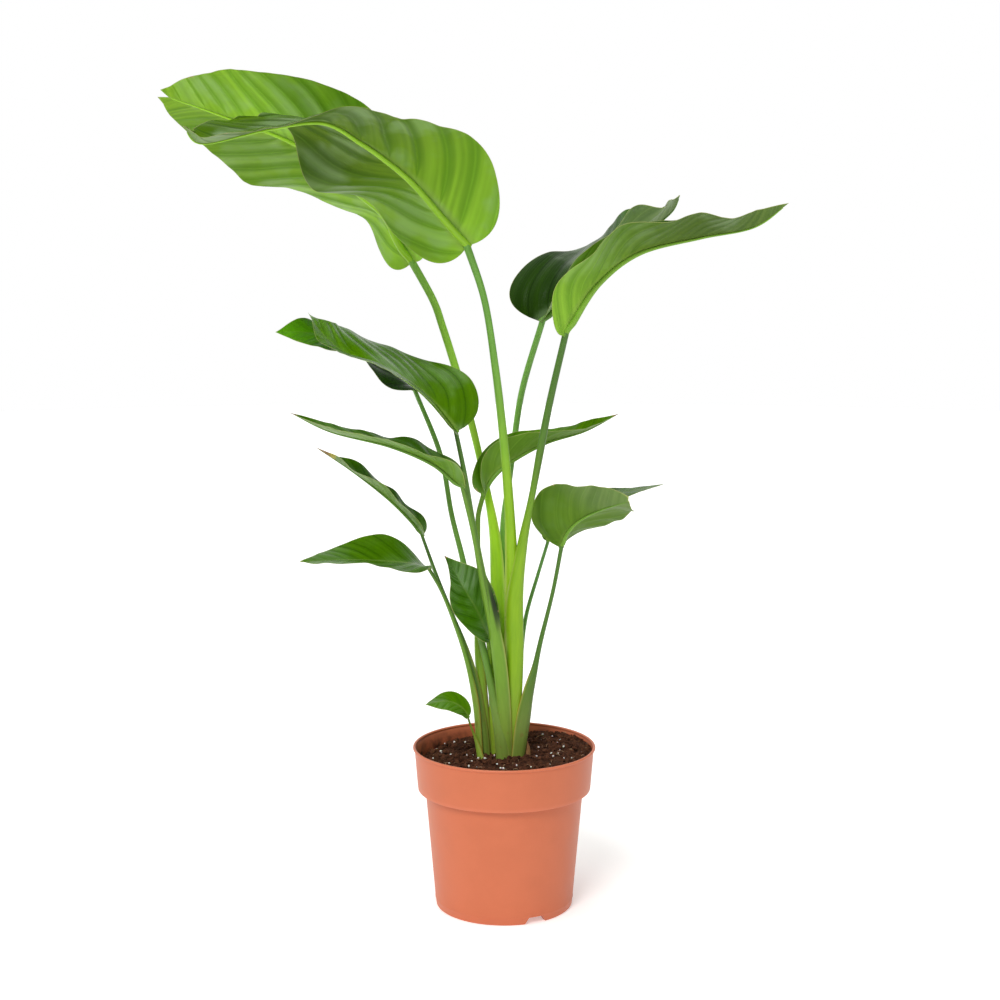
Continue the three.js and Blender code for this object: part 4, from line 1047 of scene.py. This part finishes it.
def soil_spots(soil, edge, count, draws):
    spots = []
    while len(spots) < count:
        radius, turn = edge * math.sqrt(draws.uniform(0, 0.97)), draws.uniform(0, 2 * math.pi)
        x, y = radius * math.cos(turn), radius * math.sin(turn)
        if not (around_clump(x, y) and draws.uniform() < 0.6):
            spots.append((x, y, soil_height(x, y, soil) + draws.uniform(0.0, 1.4)))
    return spots


def scatter_crumbs(soil, edge, peat):
    draws = np.random.default_rng(5)
    shell = Shell()
    spots = soil_spots(soil, edge, soil.crumbs, draws)
    sizes = soil.crumb / MM * draws.lognormal(-0.15, 0.38, len(spots))
    pebbles(shell, spots, np.clip(sizes, 1, 7), draws, 1, 0.28, shade=(0, 0.55))
    shell.make("peat_crumbs", [peat], sharp=30)


def scatter_grains(soil, edge):
    draws = np.random.default_rng(8)
    seen = [(x, y, soil_height(x, y, soil) + 2.2) for x, y in GRAINS]
    rest = soil_spots(soil, edge, soil.hidden_grains, draws)
    rest = [spot for spot in rest if spot[1] > 20 or abs(spot[0]) > 60 or draws.uniform() < 0.35]
    shell = Shell()
    sizes = soil.grain / MM * draws.uniform(0.85, 1.25, len(seen))
    pebbles(shell, seen, sizes, draws, 2, 0.12, 0.8)
    sizes = soil.grain / MM * draws.uniform(0.45, 1.1, len(rest))
    pebbles(shell, rest, sizes, draws, 2, 0.12, 0.8)
    shell.make("perlite_grains", [expanded_perlite(soil)], sharp=50)


def strand(shell, route, radius, sides=6, rows=14):
    """A thin round strand along a route, pointed at both ends."""
    t = np.linspace(0, 1, rows)
    places, ahead, _ = follow(route, t)
    side = unit(np.cross(ahead, [0.13, 0.21, 1.0]))
    up = np.cross(side, ahead)
    turns = full_turn(sides)
    thick = radius * np.clip(np.minimum(t, 1 - t) * 8, 0.15, 1)
    ring = side[:, None] * np.cos(turns)[:, None] + up[:, None] * np.sin(turns)[:, None]
    points = places[:, None] + ring * thick[:, None, None]
    faces = grid_faces(rows, sides, closed=True).tolist()
    faces += [list(range(sides))[::-1], [(rows - 1) * sides + i for i in range(sides)]]
    shell.add(points, faces)


def lay_fibres(soil, edge):
    draws = np.random.default_rng(13)
    shell = Shell()
    # A pale rootlet and a short twig lie in front of the clump.
    for ends, radius in (([[-19, 27], [-16, 36], [-12, 47], [-9, 56]], 0.6),
                         ([[-31, -12], [-28, -4], [-25, 6], [-21, 16]], 0.7)):
        lifts = [0.6, 2.0, 2.2, 0.9]
        route = [[x, y, soil_height(x, y, soil) + lift] for (x, y), lift in zip(ends, lifts)]
        strand(shell, route, radius)
    for x, y, _ in soil_spots(soil, edge, soil.fibres, draws):
        turn, reach = draws.uniform(0, 2 * math.pi), draws.uniform(2, 6)
        bend = draws.uniform(-1.5, 1.5)
        ahead, side = np.array([math.cos(turn), math.sin(turn)]), np.array([-math.sin(turn), math.cos(turn)])
        route = []
        for part, lift in ((-1, -0.2), (-0.3, 1.1), (0.4, 1.3), (1, 0.0)):
            spot = np.array([x, y]) + ahead * reach * part + side * bend * (part * part - 0.5)
            spot *= min(1, (edge - 1) / max(np.hypot(*spot), 1e-6))
            route.append([*spot, soil_height(*spot, soil) + 0.8 + lift])
        strand(shell, route, draws.uniform(0.18, 0.4), 5, 9)
    shell.make("root_fibres", [dried_root()], sharp=80)


# ---- Stalks --------------------------------------------------------------------------------------------


STALK_STEP = 3  # length of stalk between two rings of points


def stalk_route(leaf):
    route = [*leaf["stalk"], [*leaf["foot"], STALK_FOOT]]
    if "midrib" in leaf:
        foot, following = np.array(leaf["midrib"][:2], float)
        route.insert(0, foot + unit(following - foot) * NECK)
    return np.array(route, float)


def grow_stalk(name, leaf, habit, stalks, finish):
    route = stalk_route(leaf)
    rows = int(np.linalg.norm(np.diff(route, axis=0), axis=1).sum() / STALK_STEP) + 2
    t = np.linspace(0, 1, rows)
    if "midrib" not in leaf:
        t = t**1.3
    places, ahead, run = follow(route, t)
    across = unit(np.array([1.0, 0, 0]) - ahead[:, :1] * ahead)
    away = np.cross(ahead, across)
    radius = smooth_line(leaf["radius"], t)
    depth = smooth_line(leaf["depth"], t)
    if "midrib" not in leaf:
        radius = radius * np.clip(np.sqrt(t * run / 6), 0.12, 1)
    # Angles start at the free margin and run over the raised sheath to its low back.
    seam = habit["seam"]
    order = 1 if seam < 90 else -1
    steps = np.concatenate([[0, 1.5, 4, 8], np.linspace(15, 345, 31), [352, 357]])
    turns = np.radians(seam + order * steps)
    height = places[:, 2]
    wrapped = soft_step(habit["mouth"] + 12, habit["mouth"] - 22, height)
    raised = np.clip(1 - steps / 170, 0, 1) ** 0.8
    wrap = stalks.overlap / MM * wrapped[:, None] * raised[None, :]
    low, high, reach = habit.get("gape", (0, 1, 0))
    # Where the sheath stands open its right side bulges, and the hollow behind its margin is in shade.
    middle = np.clip((height - low) / (high - low), 0, 1)
    opened = (4 * middle * (1 - middle))[:, None] ** 0.7
    bulge = np.clip(np.cos((turns + 0.1) * 1.4), 0, 1) * (np.cos(turns) > 0)
    hollow = opened * soft_step(0.35, 0.6, np.cos(turns - 0.1)[None, :] - 0.35 * middle[:, None])
    # Low ribs run along the stalk.
    ribs = 0.02 * np.sin(7 * turns) + 0.012 * np.sin(17 * turns + 1)
    full = radius[:, None] * (1 + ribs[None, :] * (0.4 + 0.6 * wrapped[:, None])) + wrap
    full = full + reach * opened * bulge[None, :]
    sides = (across[:, None] * np.cos(turns)[:, None] * full[..., None]
             + away[:, None] * np.sin(turns)[:, None] * (full * depth[:, None])[..., None])
    points = places[:, None] + sides
    shell = Shell()
    count = len(turns)
    faces = grid_faces(rows, count, closed=True, flipped=order < 0).tolist()
    first, last = list(range(count)), [(rows - 1) * count + i for i in range(count)]
    faces += [first[::-1], last] if order > 0 else [first, last[::-1]]
    ones = np.ones((rows, count))
    away_mm = radius[:, None] * np.radians(steps)
    shell.add(points, faces, round=away_mm + 90 * seam % 77,
              along=(t * run)[:, None] * ones + 31 * radius[0], away=away_mm,
              wrapped=wrapped[:, None] * ones, pale=0.3 * soft_step(290, 180, height)[:, None] * ones,
              hue=smooth_line(habit["hue"], t)[:, None] * ones, hollow=hollow * (reach > 0),
              browned=(wrapped * soft_step(345, 255, height))[:, None] * ones,
              tone=smooth_line(habit["tone"], t)[:, None] * ones)
    return shell.make(name, [finish], name, sharp=50)


# ---- Blades --------------------------------------------------------------------------------------------


BLADE_STEP, BLADE_CELL = 2.2, 2.1  # length and width of a blade between two points
RIB_SIDES = 14


def join_halves(right, left):
    return np.concatenate([left[:, :0:-1], right], axis=1)


def sheet_normals(points):
    return unit(np.cross(np.gradient(points, axis=1), np.gradient(points, axis=0)))


def blade_half(leaf, side, t, s):
    """Points and upper-face normals of one half, rows from foot to tip and columns from midrib to margin."""
    half = leaf["right" if side > 0 else "left"]
    places, ahead, run = follow(leaf["midrib"], t)
    heading = np.array(leaf["midrib"][-1], float) - leaf["midrib"][0]
    heading = unit(heading * [1, 1, 0])
    flat = np.cross(heading, [0, 0, 1.0])
    flat = unit(flat - (ahead @ flat)[:, None] * ahead)
    up = np.cross(flat, ahead)
    widest = leaf["widest"]
    rising = np.sqrt(np.clip(1 - (1 - t / widest) ** 2, 0, 1))
    falling = 1 - np.clip((t - widest) / (1 - widest), 0, 1) ** leaf["taper"]
    width = np.maximum(leaf["half_width"] * np.where(t < widest, rising, falling), 1.2 - 0.9 * t)
    width = width * smooth_line(half.get("broad", [1, 1]), t)
    curl = math.radians(half["curl"] or 0.1)
    lift = np.radians(smooth_line(half["lift"], t))[:, None]
    turn = lift + curl * s
    wide = width[:, None]
    outward = wide * (np.sin(turn) - np.sin(lift)) / curl
    upward = wide * (np.cos(lift) - np.cos(turn)) / curl
    sweep = smooth_line(LOBES, t)[:, None] * wide * s**1.5
    points = (places[:, None] + side * outward[..., None] * flat[:, None] + upward[..., None] * up[:, None]
              + sweep[..., None] * ahead[:, None])
    normal = np.cos(turn)[..., None] * up[:, None] - side * np.sin(turn)[..., None] * flat[:, None]
    return points, normal, width, run, places, ahead, up, flat


def folded(x, spacing, seed):
    """A smooth line that crosses zero where one fold meets the next."""
    draws = np.random.default_rng(seed).uniform(0.45, 1, 400)
    draws[::2] *= -1
    x = np.asarray(x) + 0.3 * spacing * wander(x, 3 * spacing, seed + 1)
    return smooth_line(draws, (x / spacing + 60) / 399)


def rib_width(leaf, t):
    """Half the width of the pale band that the rib makes along the middle of the blade."""
    return leaf["radius"][0] * smooth_line([2.6, 2, 1.4, 0.9, 0.5, 0.2], t)


def unfurl_blade(name, leaf, habit, leaves, finishes, seed):
    run = follow(leaf["midrib"], [0.0])[2]
    rows, columns = int(run / BLADE_STEP) + 2, max(9, int(leaf["half_width"] / BLADE_CELL))
    t = np.linspace(0, 1, rows) ** 1.15
    s = np.linspace(0, 1, columns + 1)
    torn = np.clip(1 - run * (1 - t) / max(habit["notch"], 1e-6), 0, 1)
    halves, values = {}, {}
    traits = zip((1, -1), habit["ripple"], habit["pleat"], habit["fold"], habit["tone"])
    for side, heights, pleat, spacing, tone in traits:
        points, normal, width, run, places, ahead, up, flat = blade_half(leaf, side, t, s)
        wide, along = width[:, None], run * t[:, None]
        # The side veins leave the midrib forwards and bend on towards the tip.
        vein = along - habit["sweep"] * wide * s
        waves = smooth_line(heights, t)[:, None] * s**1.6
        waves = waves + 0.6 * wander(along, 9, seed + side) * np.clip(4 * t * (1 - t), 0, 1)[:, None] * s**4
        fold = folded(vein, spacing, seed * 7 + side)
        grow = soft_step(0, 0.35, s) * np.clip(wide / leaf["half_width"], 0, 1)
        raised = waves + pleat * (np.abs(fold) - 0.5) * grow * (1 - 0.8 * s**4)
        halves[side] = points + raised[..., None] * normal
        apart = 0.5 * habit["notch"] * torn[:, None] * unit(points[:, -1] - points[:, 0])
        halves[side] = halves[side] + apart[:, None]
        values[side] = (vein + 997 * (seed + side * 0.37), wide * s, fold / np.clip(grow, 0.03, 1),
                        np.minimum(wide * (1 - s), run * (1 - t)[:, None] * 0.6 + 0.3),
                        smooth_line(tone, t)[:, None] * np.ones(columns + 1))

    middle = join_halves(halves[1], halves[-1])
    normal = sheet_normals(middle)
    # A notched tip is split down to one place on the midrib.
    middle[torn > 0, columns] = middle[torn <= 0, columns][-1]
    vein, out, fold, edge, tone = (join_halves(r, l) for r, l in zip(values[1], values[-1]))
    thick = leaves.thickness / MM / 2 * np.clip(edge / 1.5, 0.35, 1)
    ones = np.ones(vein.shape)
    dried = soft_step(1.6, 0.3, run * (1 - t) / habit["dry"]) if habit["dry"] else 0 * t
    rib = out / (0.4 + 0.6 * habit["youth"]) / rib_width(leaf, t)[:, None]
    facts = {"vein": vein, "out": out, "edge": edge, "fold": fold, "tone": tone, "rib": rib,
             "dried": dried[:, None] * ones, "reach": t[:, None] * ones, "wax": habit["wax"] * ones,
             "youth": habit["youth"] * ones}
    count = middle.shape[1]
    shell = Shell()
    shell.add(middle + normal * thick[..., None], grid_faces(rows, count, flipped=True), 0, **facts)
    shell.add(middle - normal * thick[..., None], grid_faces(rows, count), 1, **facts)
    shell.close_border(rows, count, 1)
    rows = int(min(0.985, 1 - habit["notch"] / run) * rows)
    add_midrib(shell, leaf, t[:rows], places[:rows], ahead[:rows], up[:rows], flat[:rows], run, habit)
    return shell.make(name, finishes, name, sharp=70)


def add_midrib(shell, leaf, t, places, ahead, up, flat, run, habit):
    """The rib runs on from the stalk under the fold of the blade and thins out to the tip."""
    rows = len(t)
    lift = [np.radians(smooth_line(leaf[side]["lift"], t)) for side in ("right", "left")]
    fold = ((lift[0] - lift[1]) / 2)[:, None]
    over = unit(np.cos(fold) * up - np.sin(fold) * flat)
    side = unit(np.cross(over, ahead))
    stalk = leaf["radius"][0]
    radius = (stalk + 0.08) * (0.9 * (1 - t) ** 1.1 + 0.1)
    sink = radius * 0.95 * soft_step(0, 0.06, t)
    turns = full_turn(RIB_SIDES)
    ring = side[:, None] * np.cos(turns)[:, None] + over[:, None] * np.sin(turns)[:, None]
    points = (places - over * sink[:, None])[:, None] + ring * radius[:, None, None]
    # It starts 1.5 mm back, inside the stalk's end.
    start = points[:1] - ahead[:1, None] * 1.5
    points = np.concatenate([start, points])
    faces = grid_faces(rows + 1, RIB_SIDES, closed=True).tolist()
    faces += [list(range(RIB_SIDES))[::-1], [rows * RIB_SIDES + i for i in range(RIB_SIDES)]]
    ones = np.ones((rows + 1, RIB_SIDES))
    shell.add(points, faces, 2, round=ones * turns * stalk, hue=ones * (0.2 + 0.5 * habit["youth"]),
              along=np.concatenate([[0], t * run])[:, None] * ones, tone=ones * (0.9 + 0.7 * habit["youth"]),
              away=9 * ones)


# ---- Operators -----------------------------------------------------------------------------------------


class MouldPot(bpy.types.Operator):
    """Mould the round pot with its collar, rolled rim, notched foot and drain holes"""

    bl_idname = "potted_plant.mould_pot"
    bl_label = "Mould pot"

    def execute(self, context):
        mould_pot(context.scene.plant_pot)
        return {"FINISHED"}


class FillSoil(bpy.types.Operator):
    """Fill the pot with peat mix and scatter crumbs, perlite grains and root fibres on it"""

    bl_idname = "potted_plant.fill_soil"
    bl_label = "Fill soil"

    def execute(self, context):
        fill_soil(context.scene.plant_soil, context.scene.plant_pot)
        return {"FINISHED"}


class GrowStalks(bpy.types.Operator):
    """Grow the fourteen stalks with their sheaths, and the furled young shoot"""

    bl_idname = "potted_plant.grow_stalks"
    bl_label = "Grow stalks"

    def execute(self, context):
        stalks = context.scene.plant_stalks
        finish = waxy_stalk(stalks)
        for name, leaf in {**LEAVES, "spear": SPEAR}.items():
            node = name if name == "spear" else "stalk_" + name
            grow_stalk(node, leaf, SHEATHS[name], stalks, finish)
        return {"FINISHED"}


class UnfurlBlades(bpy.types.Operator):
    """Unfurl the fourteen leaf blades with their midribs"""

    bl_idname = "potted_plant.unfurl_blades"
    bl_label = "Unfurl blades"

    def execute(self, context):
        leaves = context.scene.plant_leaves
        # The upper face's creases are tinted darker, painted shade, and the underside's lighter, a painted
        # sheen.
        upper = living_blade("Blade upper face, living and waxed", leaves, list(leaves.old_upper),
                             list(leaves.young_upper), linear("#8cc408"), 0.25, 0.32, (0.35, 0.45, 0.3), 0.0)
        under = living_blade("Blade underside, living and matt", leaves, list(leaves.old_under),
                             list(leaves.young_under), linear("#a2d00c"), 0.44, 0.42, (1.5, 1.4, 1.5), 0.35)
        rib = waxy_stalk(context.scene.plant_stalks)
        for seed, (name, leaf) in enumerate(LEAVES.items()):
            habit = {**USUAL_HABIT, **HABITS[name]}
            unfurl_blade("leaf_" + name, leaf, habit, leaves, [upper, under, rib], seed + 2)
        return {"FINISHED"}


class LayDrySheath(bpy.types.Operator):
    """Lay the dried scale at the right foot of the clump"""

    bl_idname = "potted_plant.lay_dry_sheath"
    bl_label = "Lay dry scale"

    def execute(self, context):
        leaves = context.scene.plant_leaves
        rows, columns, thick = 30, 17, 0.25
        t, s = np.linspace(0, 1, rows), np.linspace(0, 1, columns // 2 + 1)
        right, left = (blade_half(DRY_SHEATH, side, t, s) for side in (1, -1))
        run = right[3]
        middle = join_halves(right[0], left[0])
        middle += 0.35 * rough(middle.reshape(-1, 3), 4, 41).reshape(rows, columns)[..., None]
        normal = sheet_normals(middle)
        out = np.concatenate([-s[:0:-1], s]) * DRY_SHEATH["half_width"] * np.ones((rows, 1))
        facts = {"vein": run * t[:, None] * np.ones(columns), "out": out}
        shell = Shell()
        shell.add(middle + normal * thick, grid_faces(rows, columns, flipped=True), 0, **facts)
        shell.add(middle - normal * thick, grid_faces(rows, columns), 0, **facts)
        shell.close_border(rows, columns, 0)
        shell.make("dry_scale", [dried_scale(leaves)], "dry_sheath", sharp=60)
        return {"FINISHED"}


def light_studio(scene, stage):
    """White studio: walls brighter behind the plant than behind the viewer, and two wide soft lights."""
    world = bpy.data.worlds.new("studio")
    world.use_nodes = True
    tree = world.node_tree
    tree.nodes.clear()
    toward = add_node(tree, "TexCoord", output="Generated")
    # Only the low parts of the back and left walls are bright, and the ceiling is as dim as the front.
    behind = add_node(
        tree, "VectorMath", [toward, (-0.45, 0.9, -0.7)], output="Value", operation="DOT_PRODUCT")
    amount = add_node(tree, "MapRange", [behind, 0, 0.65, stage.front_walls, stage.back_walls], **SOFT)
    walls = add_node(tree, "Background", {"Color": (1, 1, 1), "Strength": amount})
    add_node(tree, "OutputWorld", [walls])
    scene.world = world
    lights = {
        "key": ((-0.3, -0.85, 0.8), 22, stage.key_light),
        "top": ((-0.15, -0.1, 1.0), 30, stage.top_light),
    }
    for name, (place, angle, strength) in lights.items():
        light = bpy.data.lights.new(name, "SUN")
        light.angle, light.energy = math.radians(angle), strength
        lamp = bpy.data.objects.new(name, light)
        lamp.location = Vector(place) * 3
        lamp.rotation_mode = "QUATERNION"
        lamp.rotation_quaternion = Vector(place).to_track_quat("Z", "Y")
        scene.collection.objects.link(lamp)


FLOOR_SIDES = 96
LENS, SENSOR = 68.4, 36
CAMERA_PLACE = (-0.0048, -2.124, 0.788)
CAMERA_DIP = 8.43  # degrees that the camera looks down


class SetStage(bpy.types.Operator):
    """Set the plain floor, the soft studio lights and the camera"""

    bl_idname = "potted_plant.set_stage"
    bl_label = "Set stage"

    def execute(self, context):
        stage, scene = context.scene.plant_stage, context.scene
        floor = bpy.data.meshes.new("floor")
        turns = np.linspace(0, 2 * math.pi, FLOOR_SIDES + 1)[:-1]
        ring = [(stage.floor_radius * math.cos(a), stage.floor_radius * math.sin(a), 0) for a in turns]
        floor.from_pydata(ring, [], [list(range(FLOOR_SIDES))])
        floor.materials.append(matt_floor(stage))
        floor = bpy.data.objects.new("floor", floor)
        scene.collection.objects.link(floor)
        light_studio(scene, stage)
        camera = bpy.data.cameras.new("camera")
        camera.lens, camera.sensor_width = LENS, SENSOR
        camera.clip_start, camera.clip_end = 0.05, 50
        view = bpy.data.objects.new("camera", camera)
        view.location = CAMERA_PLACE
        view.rotation_euler = (math.radians(90 - CAMERA_DIP), 0, 0)
        scene.collection.objects.link(view)
        scene.camera = view
        scene.view_settings.view_transform = "Standard"
        return {"FINISHED"}


class PlantPanel(bpy.types.Panel):
    bl_label = "Potted bird of paradise"
    bl_idname = "VIEW3D_PT_potted_plant"
    bl_space_type = "VIEW_3D"
    bl_region_type = "UI"
    bl_category = "Plant"

    def draw(self, context):
        for operator, group in STEPS:
            box = self.layout.box()
            box.operator(operator.bl_idname)
            settings = getattr(context.scene, group)
            for key in settings.bl_rna.properties.keys():
                if key not in ("rna_type", "name"):
                    box.prop(settings, key)


STEPS = (
    (MouldPot, "plant_pot"),
    (FillSoil, "plant_soil"),
    (GrowStalks, "plant_stalks"),
    (UnfurlBlades, "plant_leaves"),
    (LayDrySheath, "plant_leaves"),
    (SetStage, "plant_stage"),
)
GROUPS = {
    "plant_pot": PotSizes,
    "plant_soil": SoilSizes,
    "plant_stalks": StalkSizes,
    "plant_leaves": LeafSizes,
    "plant_stage": StageSizes,
}


def register():
    for name, group in GROUPS.items():
        bpy.utils.register_class(group)
        setattr(bpy.types.Scene, name, bpy.props.PointerProperty(type=group))
    for operator, _ in STEPS:
        bpy.utils.register_class(operator)
    bpy.utils.register_class(PlantPanel)


def unregister():
    bpy.utils.unregister_class(PlantPanel)
    for operator, _ in reversed(STEPS):
        bpy.utils.unregister_class(operator)
    for name, group in reversed(GROUPS.items()):
        delattr(bpy.types.Scene, name)
        bpy.utils.unregister_class(group)


def main():
    register()
    bpy.ops.potted_plant.mould_pot()
    bpy.ops.potted_plant.fill_soil()
    bpy.ops.potted_plant.grow_stalks()
    bpy.ops.potted_plant.unfurl_blades()
    bpy.ops.potted_plant.lay_dry_sheath()
    bpy.ops.potted_plant.set_stage()


if __name__ == "__main__":
    main()
